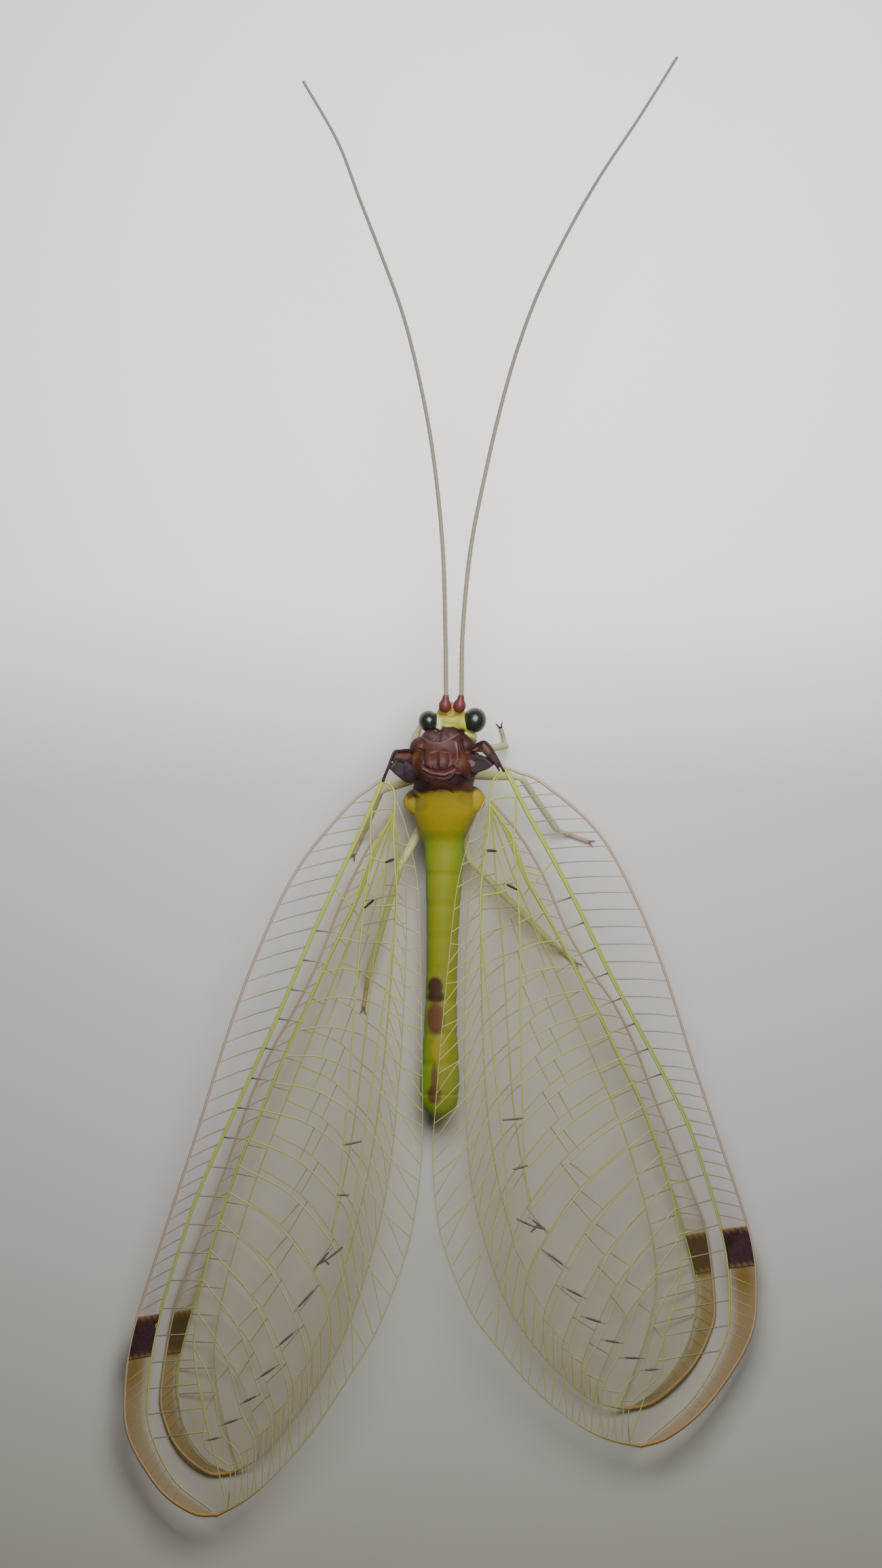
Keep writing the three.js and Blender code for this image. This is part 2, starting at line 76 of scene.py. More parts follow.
PLATES = [  # x, y, z, half width, half length, half height, turn about the vertical in degrees
    (-0.38, 1.29, 3.10, 0.31, 0.23, 0.30, 10),
    (0.19, 1.31, 3.12, 0.27, 0.26, 0.30, -12),
    (-0.10, 1.06, 3.08, 0.62, 0.16, 0.28, 0),
    (-0.70, 0.98, 2.92, 0.34, 0.32, 0.42, 24),
    (0.60, 1.04, 2.92, 0.34, 0.34, 0.42, -34),
    (-0.44, 0.44, 3.32, 0.46, 0.42, 0.40, 16),
    (0.40, 0.44, 3.32, 0.46, 0.42, 0.40, -16),
    (-0.04, 0.46, 3.40, 0.30, 0.50, 0.36, 0),
    (-0.10, -0.02, 3.32, 0.60, 0.22, 0.32, 0),
    (-0.82, 0.42, 3.10, 0.32, 0.44, 0.34, 16),
    (0.78, 0.46, 3.10, 0.32, 0.44, 0.34, -22),
    (-0.62, -0.22, 2.86, 0.36, 0.26, 0.28, 30),
    (0.42, -0.02, 2.98, 0.34, 0.26, 0.28, -28),
    (-0.02, -0.34, 2.80, 0.40, 0.22, 0.26, 0),
    (-0.72, -0.62, 2.44, 0.52, 0.42, 0.24, 10),
    (0.72, -0.58, 2.46, 0.52, 0.44, 0.24, -10),
    (0.04, -0.72, 2.66, 0.62, 0.34, 0.30, 0),
    (0.18, 1.82, 2.80, 0.52, 0.36, 0.46, 0),
    (0.20, 1.98, 2.74, 0.44, 0.32, 0.50, 0),
    (0.20, 2.10, 2.40, 0.36, 0.26, 0.42, 0),
    (0.20, 2.16, 2.02, 0.27, 0.20, 0.34, 0),
    (-0.18, 1.74, 2.84, 0.28, 0.26, 0.34, 0),
    (0.60, 1.72, 2.84, 0.30, 0.28, 0.34, 0),
    (0.70, 1.36, 2.62, 0.24, 0.36, 0.34, 32),
    (-0.34, 1.52, 2.66, 0.24, 0.24, 0.32, 0),
    (-0.01, 2.10, 3.16, 0.18, 0.15, 0.16, 0),
    (0.36, 2.12, 3.16, 0.18, 0.15, 0.16, 0),
]


def tint(code):
    """A hexadecimal display colour as an array of linear red, green, blue and 1."""
    parts = [int(code[i : i + 2], 16) / 255 for i in (1, 3, 5)]
    return np.array([p / 12.92 if p < 0.04045 else ((p + 0.055) / 1.055) ** 2.4 for p in parts] + [1.0])


def smooth(x, low, high):
    """0 below low, 1 above high, eased between."""
    t = np.clip((np.asarray(x, float) - low) / (high - low), 0, 1)
    return t * t * (3 - 2 * t)


def flowing(points, count):
    """A smooth run of count points through given points of any number of columns."""
    knots = np.asarray(points, float)
    knots = np.vstack([2 * knots[0] - knots[1], knots, 2 * knots[-1] - knots[-2]])
    run = []
    for place in np.linspace(0, len(knots) - 3 - 1e-9, count):
        span = int(place)
        share = place - span
        a, b, c, d = knots[span : span + 4]
        bend = (2 * a - 5 * b + 4 * c - d) * share**2 + (3 * b - a - 3 * c + d) * share**3
        run.append(0.5 * (2 * b + (c - a) * share + bend))
    return np.array(run)


def tube(bm, path, half_wide, half_tall=None, sides=12, upright=False):
    """A closed round loft along path, added to bm; the half sizes are one for each point."""
    path = np.asarray(path, float)
    half_tall = half_wide if half_tall is None else half_tall
    side = None
    rings = []
    for i, centre in enumerate(path):
        along = path[min(i + 1, len(path) - 1)] - path[max(i - 1, 0)]
        if upright:
            along = np.array([0, along[1], 0])
        along = along / np.linalg.norm(along)
        if side is None:
            side = np.cross(along, [0, 0, 1])
            side = side if np.linalg.norm(side) > 0.1 else np.array([1.0, 0, 0])
        side = side - along * np.dot(side, along)
        side = side / np.linalg.norm(side)
        lift = np.cross(side, along)
        ring = []
        for k in range(sides):
            turn = 2 * math.pi * k / sides
            at = centre + side * half_wide[i] * math.cos(turn) + lift * half_tall[i] * math.sin(turn)
            ring.append(bm.verts.new(at))
        rings.append(ring)
    for a, b in zip(rings, rings[1:]):
        for k in range(sides):
            bm.faces.new((a[k], a[(k + 1) % sides], b[(k + 1) % sides], b[k]))
    bm.faces.new(rings[0][::-1])
    bm.faces.new(rings[-1])


def ball(bm, centre, radii, turn=0.0, segments=24, rings=16):
    """An egg shape, turned about the vertical by turn degrees."""
    made = bmesh.ops.create_uvsphere(bm, u_segments=segments, v_segments=rings, radius=1.0)["verts"]
    cosine, sine = math.cos(math.radians(turn)), math.sin(math.radians(turn))
    for vert in made:
        x, y, z = vert.co.x * radii[0], vert.co.y * radii[1], vert.co.z * radii[2]
        across, ahead = cosine * x - sine * y, sine * x + cosine * y
        vert.co = Vector((centre[0] + across, centre[1] + ahead, centre[2] + z))


def evaluated(obj):
    """The object's mesh with its modifiers applied; the modifiers are then gone."""
    mesh = bpy.data.meshes.new_from_object(obj.evaluated_get(bpy.context.evaluated_depsgraph_get()))
    obj.modifiers.clear()
    obj.data = mesh
    return obj


def drawn(name, bm):
    """A new object from a bmesh in millimetres, with its faces turned outwards."""
    bmesh.ops.recalc_face_normals(bm, faces=bm.faces)
    mesh = bpy.data.meshes.new(name)
    bm.to_mesh(mesh)
    bm.free()
    obj = bpy.data.objects.new(name, mesh)
    bpy.context.scene.collection.objects.link(obj)
    return obj


def fused(obj, voxel, easing):
    """Melts overlapping closed pieces into one skin and eases it."""
    melt = obj.modifiers.new("melt", "REMESH")
    melt.mode = "VOXEL"
    melt.voxel_size = voxel
    ease = obj.modifiers.new("ease", "SMOOTH")
    ease.factor = 0.5
    ease.iterations = easing
    return evaluated(obj)


def finished(obj, material, nodes=()):
    """Puts a piece drawn in mm about the body's middle into the frame, and rides it on the body."""
    for vert in obj.data.vertices:
        vert.co = (vert.co + BODY_CENTRE) * MM
    obj.data.materials.clear()
    obj.data.materials.append(material)
    obj.data.polygons.foreach_set("use_smooth", [True] * len(obj.data.polygons))
    obj.data.update()
    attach(obj, "root")
    if nodes:
        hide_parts(*nodes)


def grain_group():
    """Shader group: fine mottling as a tone about 1, a varying roughness and a height for a bump."""
    group = bpy.data.node_groups.new("chitin_grain", "ShaderNodeTree")
    for name in ("Grain", "Mottle", "Roughness", "Sheen"):
        group.interface.new_socket(name, in_out="INPUT", socket_type="NodeSocketFloat")
    for name in ("Tone", "Roughness", "Height"):
        group.interface.new_socket(name, in_out="OUTPUT", socket_type="NodeSocketFloat")
    nodes, links = group.nodes, group.links
    inside, outside = nodes.new("NodeGroupInput"), nodes.new("NodeGroupOutput")
    place = nodes.new("ShaderNodeTexCoord")
    mottling = nodes.new("ShaderNodeTexNoise")
    mottling.inputs["Detail"].default_value = 5
    links.new(place.outputs["Object"], mottling.inputs["Vector"])
    links.new(inside.outputs["Grain"], mottling.inputs["Scale"])
    swing = nodes.new("ShaderNodeMath")
    swing.operation = "MULTIPLY_ADD"
    swing.inputs[1].default_value = 5
    swing.inputs[2].default_value = -2.5
    links.new(mottling.outputs["Fac"], swing.inputs[0])
    tone = nodes.new("ShaderNodeMath")
    tone.operation = "MULTIPLY_ADD"
    tone.inputs[2].default_value = 1
    links.new(swing.outputs["Value"], tone.inputs[0])
    links.new(inside.outputs["Mottle"], tone.inputs[1])
    gloss = nodes.new("ShaderNodeMath")
    gloss.operation = "MULTIPLY_ADD"
    links.new(swing.outputs["Value"], gloss.inputs[0])
    links.new(inside.outputs["Sheen"], gloss.inputs[1])
    links.new(inside.outputs["Roughness"], gloss.inputs[2])
    links.new(tone.outputs["Value"], outside.inputs["Tone"])
    links.new(gloss.outputs["Value"], outside.inputs["Roughness"])
    links.new(mottling.outputs["Fac"], outside.inputs["Height"])
    return group


chitin_grain = grain_group()
BUMP_DEPTH = 0.00001  # m
SPECULAR, COAT_ROUGHNESS = 0.18, 0.2


def surface(name, roughness, sheen, bump, grain, colour=None, coat=0.0, mottle=0.2):
    """A chitin material: a plain colour, or the paint attribute, mottled over a fine grained bump."""
    material = bpy.data.materials.new(name)
    material.use_nodes = True
    nodes, links = material.node_tree.nodes, material.node_tree.links
    shader = nodes["Principled BSDF"]
    fleck = nodes.new("ShaderNodeGroup")
    fleck.node_tree = chitin_grain
    fleck.inputs["Grain"].default_value = grain
    fleck.inputs["Mottle"].default_value = mottle
    fleck.inputs["Roughness"].default_value = roughness
    fleck.inputs["Sheen"].default_value = sheen
    mix = nodes.new("ShaderNodeVectorMath")
    mix.operation = "SCALE"
    if colour:
        mix.inputs[0].default_value = tint(colour)[:3]
    else:
        paint = nodes.new("ShaderNodeAttribute")
        paint.attribute_name = "paint"
        links.new(paint.outputs["Color"], mix.inputs[0])
    links.new(fleck.outputs["Tone"], mix.inputs["Scale"])
    links.new(mix.outputs["Vector"], shader.inputs["Base Color"])
    links.new(fleck.outputs["Roughness"], shader.inputs["Roughness"])
    relief = nodes.new("ShaderNodeBump")
    relief.inputs["Strength"].default_value = bump
    relief.inputs["Distance"].default_value = BUMP_DEPTH
    links.new(fleck.outputs["Height"], relief.inputs["Height"])
    links.new(relief.outputs["Normal"], shader.inputs["Normal"])
    shader.inputs["Specular IOR Level"].default_value = SPECULAR
    shader.inputs["Coat Weight"].default_value = coat
    shader.inputs["Coat Roughness"].default_value = COAT_ROUGHNESS
    return material


def places(obj):
    """The object's points as an array of x, y, z."""
    at = np.zeros(len(obj.data.vertices) * 3)
    obj.data.vertices.foreach_get("co", at)
    return at.reshape(-1, 3)


def higher(at, above):
    """1 for points higher than above and 0 for lower ones, eased over a fifth of a millimetre."""
    return smooth(at[:, 2], above - 0.1, above + 0.1)


def stroke_share(at, points, half_wide, above):
    """1 on a given line seen from above, 0 beyond half_wide from it and 0 for points lower than above."""
    away = np.full(len(at), 9.0)
    line = np.array(points, float)
    for a, b in zip(line, line[1:]):
        span = b - a
        t = np.clip(((at[:, :2] - a) @ span) / (span @ span), 0, 1)
        away = np.minimum(away, np.linalg.norm(at[:, :2] - a - t[:, None] * span, axis=1))
    return (1 - smooth(away, half_wide * 0.35, half_wide)) * higher(at, above)


def painted(obj, base, spots=(), strokes=()):
    """Colours the points: base gives a colour for each, spots are ovals and strokes are lines over it."""
    at = places(obj)
    paint = base(at)
    for x, y, wide, long, code, above in spots:
        away = np.sqrt(((at[:, 0] - x) / wide) ** 2 + ((at[:, 1] - y) / long) ** 2)
        share = (1 - smooth(away, 0.7, 1.2)) * higher(at, above)
        paint += (tint(code) - paint) * share[:, None]
    for points, half_wide, code, above, _ in strokes:
        share = stroke_share(at, points, half_wide, above)
        paint += (tint(code) - paint) * share[:, None]
    layer = obj.data.color_attributes.new("paint", "FLOAT_COLOR", "POINT")
    layer.data.foreach_set("color", paint.ravel())


def raised(obj, strokes):
    """Lifts the points under each stroke along their normals by the stroke's height."""
    at = places(obj)
    lift = np.zeros(len(at))
    for points, half_wide, _, above, height in strokes:
        lift += stroke_share(at, points, half_wide, above) * height
    outward = np.zeros(len(at) * 3)
    obj.data.vertices.foreach_get("normal", outward)
    at += outward.reshape(-1, 3) * lift[:, None]
    obj.data.vertices.foreach_set("co", at.ravel())
    obj.data.update()


def body_base(at):
    """Colour of the bare skin: head, thorax, ochre saddle, then green sides and an olive back."""
    y, x, z = at[:, 1], at[:, 0], at[:, 2]
    head, thorax = tint("#96943a"), tint("#40201a")
    saddle, side, back = (tint(code) for code in ("#8a7a1c", "#66801c", "#72761e"))
    under = tint("#a19f5c")
    over = (smooth(0.42 - np.abs(x + 0.05), -0.12, 0.12) * smooth(z, 1.3, 1.8))[:, None]
    green = side + (back - side) * over
    paint = green + (saddle - green) * smooth(y, -2.0, -1.2)[:, None]
    paint = paint + (thorax - paint) * smooth(y - 0.1 * np.abs(x), -0.46, -0.30)[:, None]
    brow = y - 0.10 * np.cos(8 * (x + 0.1)) * (np.abs(x) < 0.6) + 0.55 * smooth(x, 0.45, 0.95)
    paint = paint + (head - paint) * smooth(brow, 1.50, 1.60)[:, None]
    low = (smooth(2.3 - z, -0.1, 0.5) * smooth(y, -1.8, -1.4))[:, None]
    return paint + (under - paint) * low * 0.8


SKIN_SPOTS = [  # x, y, half wide, half long, colour, lowest height
    (-0.34, 1.40, 0.30, 0.13, "#3e2523", 2.6),
    (0.24, 1.44, 0.32, 0.14, "#3e2523", 2.6),
    (0.18, 2.10, 0.40, 0.14, "#b1933f", 2.75),
    (0.18, 1.94, 0.34, 0.06, "#908130", 2.9),
    (-0.22, 1.70, 0.16, 0.24, "#aaa681", 2.6),
    (0.80, 1.46, 0.18, 0.18, "#a6a758", 2.3),
    (0.70, 1.06, 0.30, 0.24, "#332020", 2.0),
    (0.90, 0.90, 0.22, 0.20, "#331e1d", 2.0),
    (-0.10, 1.30, 0.62, 0.22, "#3e2826", 2.9),
    (-0.12, 1.06, 0.70, 0.12, "#422623", 2.9),
    (-0.86, 0.72, 0.12, 0.22, "#462819", 2.8),
    (0.60, 0.74, 0.13, 0.22, "#4d2716", 2.8),
    (0.80, 0.56, 0.10, 0.16, "#3f2217", 2.8),
    (-0.62, 0.62, 0.14, 0.34, "#3e1e16", 3.0),
    (-0.12, 0.36, 0.52, 0.14, "#33120f", 3.1),
    (0.06, 0.05, 0.46, 0.12, "#2e1b19", 2.8),
    (-0.70, -0.16, 0.36, 0.26, "#281312", 2.6),
    (0.42, 0.00, 0.36, 0.20, "#2a1619", 2.6),
    (0.28, -0.04, 0.12, 0.10, "#302120", 2.8),
    (-0.12, -0.24, 0.34, 0.10, "#2e1b18", 2.6),
    (0.72, -0.22, 0.22, 0.18, "#452c16", 2.4),
    (-0.98, -0.44, 0.18, 0.18, "#5b401e", 2.3),
    (0.00, -0.48, 0.42, 0.15, "#8b7b27", 2.5),
    (0.70, -0.56, 0.36, 0.20, "#816f22", 2.3),
    (-0.80, -0.72, 0.34, 0.22, "#7b6c23", 2.3),
    (-0.28, -6.20, 0.24, 0.30, "#3e2a1c", 1.3),
    (-0.26, -6.50, 0.28, 0.20, "#3e2a1c", 1.3),
    (-0.26, -7.16, 0.28, 0.54, "#5c3e27", 1.2),
    (-0.14, -8.10, 0.28, 0.40, "#887b22", 1.2),
    (-0.30, -9.10, 0.11, 0.60, "#5d4722", 1.1),
    (-0.30, -9.45, 0.22, 0.30, "#553c23", 1.1),
]
SKIN_STROKES = [  # points, half width, colour, lowest height, ridge or groove height
    # Painted highlight: the pale pink line along the raised rim ridge of the pronotum.
    ([(-0.68, 1.28), (-0.44, 1.12), (-0.08, 1.11), (0.26, 1.28), (0.44, 1.40)], 0.045, "#5a3e3b", 3.0, 0.02),
    ([(-0.66, 1.40), (-0.50, 1.53), (-0.24, 1.54), (-0.10, 1.44)], 0.05, "#221312", 2.9, 0.01),
    ([(-0.10, 1.44), (0.04, 1.56), (0.26, 1.58), (0.42, 1.50)], 0.05, "#221312", 2.7, 0.01),
    ([(0.42, 1.50), (0.66, 1.32), (0.88, 1.08)], 0.05, "#2b1918", 2.5, 0.01),
    ([(-0.70, 1.36), (-0.94, 1.16), (-1.02, 0.94)], 0.06, "#372422", 2.6, 0.01),
    ([(-0.12, 1.40), (-0.14, 1.18)], 0.04, "#2e1c1a", 3.2, -0.03),
    ([(-0.74, 0.92), (-0.60, 0.88), (-0.60, 0.40), (-0.44, 0.24)], 0.04, "#2b1613", 2.9, -0.03),
    # Painted highlight: a pale pink line along a raised ridge.
    ([(0.34, 1.14), (0.40, 0.92), (0.42, 0.64)], 0.038, "#664c47", 3.0, 0.02),
    ([(0.50, 1.26), (0.52, 1.00), (0.62, 0.84)], 0.05, "#200f0f", 2.9, -0.04),
    ([(0.42, 1.02), (0.44, 0.62), (0.36, 0.46)], 0.03, "#321714", 2.9, -0.02),
    # The next five strokes are painted highlights: pale pink lines along raised ridges of the thorax.
    ([(-0.46, 0.80), (-0.30, 0.88), (-0.04, 0.86), (0.16, 0.82)], 0.035, "#50322d", 3.2, 0.012),
    ([(-0.42, 0.72), (-0.44, 0.50), (-0.40, 0.36)], 0.035, "#4b2c27", 3.2, 0.012),
    ([(-0.12, 0.96), (-0.12, 0.40)], 0.03, "#492b27", 3.3, 0.012),
    ([(0.16, 0.80), (0.20, 0.56), (0.14, 0.42)], 0.035, "#4e302b", 3.2, 0.012),
    ([(-0.66, 0.34), (-0.40, 0.22), (-0.02, 0.16), (0.30, 0.30)], 0.042, "#5f3d3a", 2.9, 0.022),
    ([(-0.64, 0.44), (-0.38, 0.31), (0.00, 0.27), (0.26, 0.40)], 0.04, "#290c0b", 2.9, -0.03),
    ([(-0.62, 0.26), (-0.38, 0.13), (0.00, 0.07), (0.20, 0.16)], 0.035, "#221312", 2.8, -0.025),
    ([(0.16, 0.04), (0.28, 0.18), (0.50, 0.18), (0.68, 0.04)], 0.05, "#1f0f12", 2.6, 0.03),
    ([(-0.98, -0.02), (-0.72, 0.06), (-0.52, -0.04)], 0.05, "#210f10", 2.5, 0.03),
    ([(-0.30, -0.34), (-0.12, -0.28), (0.10, -0.30), (0.26, -0.38)], 0.04, "#514219", 2.5, -0.02),
    ([(0.18, 2.22), (0.18, 1.98)], 0.03, "#675021", 2.9, -0.03),
    ([(0.00, 1.94), (0.18, 1.90), (0.36, 1.94)], 0.03, "#6c5e25", 2.9, -0.02),
]

skin_form = bmesh.new()
trunk = flowing([(x, y, z, wide, tall) for y, x, z, wide, tall in TRUNK], TRUNK_ROWS)
ring_place = (ABDOMEN_FRONT - trunk[:, 1]) / (ABDOMEN_FRONT - ABDOMEN_BACK) * ABDOMEN_RINGS
in_rings = (ring_place > 0.2) & (ring_place < ABDOMEN_RINGS)
from_crease = (ring_place - np.round(ring_place)) / CREASE_WIDTH
waist = 1 - CREASE_DEPTH * np.exp(-(from_crease**2)) * in_rings
tube(skin_form, trunk[:, :3], trunk[:, 3] * waist, trunk[:, 4] * waist, TRUNK_SIDES, upright=True)
for x, y, z, wide, long, tall, turn in PLATES:
    ball(skin_form, (x, y, z), (wide, long, tall), turn)
skin = fused(drawn("body_skin", skin_form), SKIN_VOXEL, SKIN_EASING)
raised(skin, SKIN_STROKES)
painted(skin, body_base, SKIN_SPOTS, SKIN_STROKES)
skin_shell = surface("chitin", 0.55, 0.05, 0.5, 26000, coat=0.02, mottle=0.07)
finished(skin, skin_shell, ["head", "prothorax", "mesothorax", "metathorax", "abdomen"])

# Eyes: two bulging grey-black balls of many tiny facets under a clear glossy lens.
# Each is a fine egg shape near the place of its solid; the left one reads a little smaller.
EYES = {  # middle, radii and turn about the vertical in degrees
    "left": ((-0.47, 1.77, 2.94), (0.31, 0.33, 0.37), 18),
    "right": ((0.91, 1.80, 2.96), (0.35, 0.385, 0.375), -14),
}
EYE_SEGMENTS, EYE_RINGS, FACETS_A_METRE = 48, 32, 42000
eye_lens = surface("eye_facets", 0.14, 0.03, 0.5, 9000, colour="#1f231c", coat=0.6, mottle=0.16)
eye_nodes, eye_links = eye_lens.node_tree.nodes, eye_lens.node_tree.links
facets = eye_nodes.new("ShaderNodeTexVoronoi")
facets.inputs["Scale"].default_value = FACETS_A_METRE
eye_place = eye_nodes.new("ShaderNodeTexCoord")
eye_links.new(eye_place.outputs["Object"], facets.inputs["Vector"])
eye_links.new(facets.outputs["Distance"], eye_nodes["Bump"].inputs["Height"])
for side, (centre, radii, turn) in EYES.items():
    eye_form = bmesh.new()
    ball(eye_form, centre, radii, turn, EYE_SEGMENTS, EYE_RINGS)
    finished(drawn(f"eye_ball_{side}", eye_form), eye_lens, [f"eye_{side}"])

# Feeler bases: a swollen rose-red scape on the brow, then a narrower ring-shaped pedicel.
# Smooth satin chitin, lofted on the line of the feeler.
SCAPE_PLACE, SCAPE_RISE = (2.06, 3.30), 0.24  # y and z of its foot, and how steeply it climbs
SCAPE_PROFILE = [  # distance along, radius
    (0.0, 0.11), (0.05, 0.16), (0.14, 0.19), (0.24, 0.185), (0.32, 0.14),
    (0.37, 0.105), (0.43, 0.105), (0.48, 0.08), (0.51, 0.05),
]
FEELER_BASE = {"left": (0.0, 0.1), "right": (0.42, 0.18)}  # x of the foot, and how steeply it leans out
scape_shell = surface("rose_chitin", 0.42, 0.05, 0.4, 30000, colour="#5c2c2c", coat=0.08, mottle=0.08)
for side, (foot_x, lean) in FEELER_BASE.items():
    scape_form = bmesh.new()
    scape_line = [
        (foot_x + lean * far, SCAPE_PLACE[0] + far, SCAPE_PLACE[1] + SCAPE_RISE * far)
        for far, _ in SCAPE_PROFILE
    ]
    tube(scape_form, scape_line, [radius for _, radius in SCAPE_PROFILE], sides=24)
    finished(drawn(f"scape_bulb_{side}", scape_form), scape_shell, [f"scape_{side}"])

# Feelers: two whips of about a hundred rings each, beige at the root and greyer towards the tip.
# A loft with a slight swelling at each ring, along the same route as the solid.
FEELER_ROUTES = {
    "left": [
        (0.05, 2.54), (0.03, 4.3), (-0.05, 6.95), (-0.32, 9.6), (-0.69, 11.7), (-1.21, 13.8),
        (-1.87, 15.63), (-2.53, 17.32), (-3.18, 19.0), (-4.2, 20.77),
    ],
    "right": [
        (0.51, 2.54), (0.55, 4.5), (0.79, 6.95), (1.23, 9.2), (1.69, 11.17), (2.22, 13.0),
        (2.87, 14.7), (3.79, 16.54), (4.71, 18.1), (5.76, 19.66), (6.92, 21.49),
    ],
}
FEELER_RINGS, ROWS_A_RING, RING_SWELL = 104, 4, 0.05
FEELER_RADIUS, FEELER_TAPER = 0.068, 0.4
FEELER_HEIGHT, FEELER_RISE = 3.42, 3.2


def whip_paint(at):
    """Beige near the head, greyer from the middle out."""
    share = smooth(at[:, 1], 3, 17)[:, None]
    return tint("#7f7765") * (1 - share) + tint("#64615d") * share


feeler_shell = surface("feeler_chitin", 0.6, 0.04, 0.5, 60000, mottle=0.1)
for side, route in FEELER_ROUTES.items():
    path = flowing(route, FEELER_RINGS * ROWS_A_RING + 1)
    share = np.linspace(0, 1, len(path))
    height = FEELER_HEIGHT + FEELER_RISE * share**1.5
    taper = FEELER_RADIUS * (1 - FEELER_TAPER * share)
    swell = 1 + RING_SWELL * np.cos(np.arange(len(path)) * 2 * math.pi / ROWS_A_RING)
    whip_form = bmesh.new()
    tube(whip_form, np.column_stack([path, height]), taper * swell, sides=8)
    whip = drawn(f"feeler_whip_{side}", whip_form)
    painted(whip, whip_paint)
    finished(whip, feeler_shell, [f"antenna_{side}"])

# Legs: slim pale green thighs and shins, brownish feet of five little joints and a pair of dark claws.
# Each leg is one loft from its hip through knee and ankle, thickest at the hip, and ends on the floor.
LEG_ROUTES = {  # hip, knee, ankle, toe, in mm about the body's middle
    "front_right": [(0.42, 1.14, 2.0), (1.3, 0.95, 1.8), (1.86, 1.04, 0.5), (1.70, 1.58, 0.06)],
    "front_left": [(-0.42, 1.14, 2.0), (-0.95, 0.86, 1.1), (-0.86, 1.4, 0.5), (-0.58, 1.90, 0.06)],
    "mid_right": [(0.5, 0.2, 1.6), (2.3, 0.1, 2.2), (3.4, -1.5, 0.45), (4.36, -1.86, 0.06)],
    "mid_left": [(-0.5, 0.2, 1.6), (-1.9, -0.3, 2.1), (-2.4, -1.5, 0.45), (-2.74, -2.26, 0.06)],
    "hind_right": [(0.42, -0.92, 1.4), (0.75, -2.4, 0.98), (3.3, -4.96, 0.45), (3.98, -5.54, 0.06)],
    "hind_left": [(-0.42, -0.92, 1.4), (-1.35, -2.6, 1.6), (-2.3, -5.9, 0.45), (-2.44, -6.9, 0.06)],
}
HIP_TOP, HIP_WIDTHS = 0.5, [0.24, 0.24, 0.15]  # mm above the hip, and radii from there to the thigh
THIGH_START, THIGH_DROP = 0.18, 0.22  # share of the way to the knee, and mm below the straight line
THIGH = [(0.25, 0.16), (0.5, 0.15), (0.8, 0.12), (0.94, 0.11), (1.0, 0.12)]  # share of the way, radius
SHIN = [(0.06, 0.10), (0.3, 0.105), (0.6, 0.105), (0.9, 0.10), (1.0, 0.11)]
FOOT_JOINTS, FOOT_JOINT = 5, [(0.1, 0.058), (0.55, 0.074), (0.92, 0.062)]
FOOT_FALL, TOE_RISE = 2.2, 0.02  # how soon the foot comes down, and mm of its line above the toe
CLAW = [(0, 0.02, 0.07), (0.07, 0.05, 0.10), (0.14, 0.085, 0.075), (0.17, 0.10, 0.012)]  # ahead, aside, up
CLAW_ROWS, CLAW_THICK = 9, (0.03, 0.008)


def leg_paint(at):
    """Green down to the ankle and brown along the foot."""
    foot = (1 - smooth(at[:, 2], 0.1, 0.42))[:, None]
    green, brown = tint("#a5a472"), tint("#8f7560")
    return green + (brown - green) * foot


leg_shell = surface("leg_chitin", 0.45, 0.04, 0.5, 40000, coat=0.1, mottle=0.07)
claw_shell = surface("claw_chitin", 0.3, 0.04, 0.3, 40000, colour="#3a2620", coat=0.4, mottle=0.1)
for name, route in LEG_ROUTES.items():
    hip, knee, ankle, toe = map(np.array, route)
    thigh = hip + (knee - hip) * THIGH_START + np.array([0, 0, -THIGH_DROP])
    stops, widths = [hip + np.array([0, 0, HIP_TOP]), hip, thigh], list(HIP_WIDTHS)
    for first, last, profile in ((thigh, knee, THIGH), (knee, ankle, SHIN)):
        for share, width in profile:
            stops.append(first + (last - first) * share)
            widths.append(width)
    for joint in range(FOOT_JOINTS):
        for place, width in FOOT_JOINT:
            share = (joint + place) / FOOT_JOINTS
            height = ankle[2] + (toe[2] + TOE_RISE - ankle[2]) * min(1, share * FOOT_FALL)
            flat = ankle + (toe - ankle) * share
            stops.append(np.array([flat[0], flat[1], height]))
            widths.append(width)
    leg_form = bmesh.new()
    tube(leg_form, stops, widths, sides=14)
    leg = drawn(f"leg_{name}", leg_form)
    round_off = leg.modifiers.new("round", "SUBSURF")
    round_off.levels = round_off.render_levels = 1
    evaluated(leg)
    painted(leg, leg_paint)
    finished(leg, leg_shell, [f"leg_{name}_thigh", f"leg_{name}_shin"])
    ahead = (toe - ankle) * np.array([1, 1, 0])
    ahead = ahead / np.linalg.norm(ahead)
    beside = np.array([-ahead[1], ahead[0], 0])
    tiptoe = toe * np.array([1, 1, 0])
    claw_form = bmesh.new()
    for way in (-1, 1):
        bend = [tiptoe + ahead * a + beside * way * b + np.array([0, 0, up]) for a, b, up in CLAW]
        tube(claw_form, flowing(bend, CLAW_ROWS), np.linspace(*CLAW_THICK, CLAW_ROWS), sides=8)
    finished(drawn(f"claws_{name}", claw_form), claw_shell)

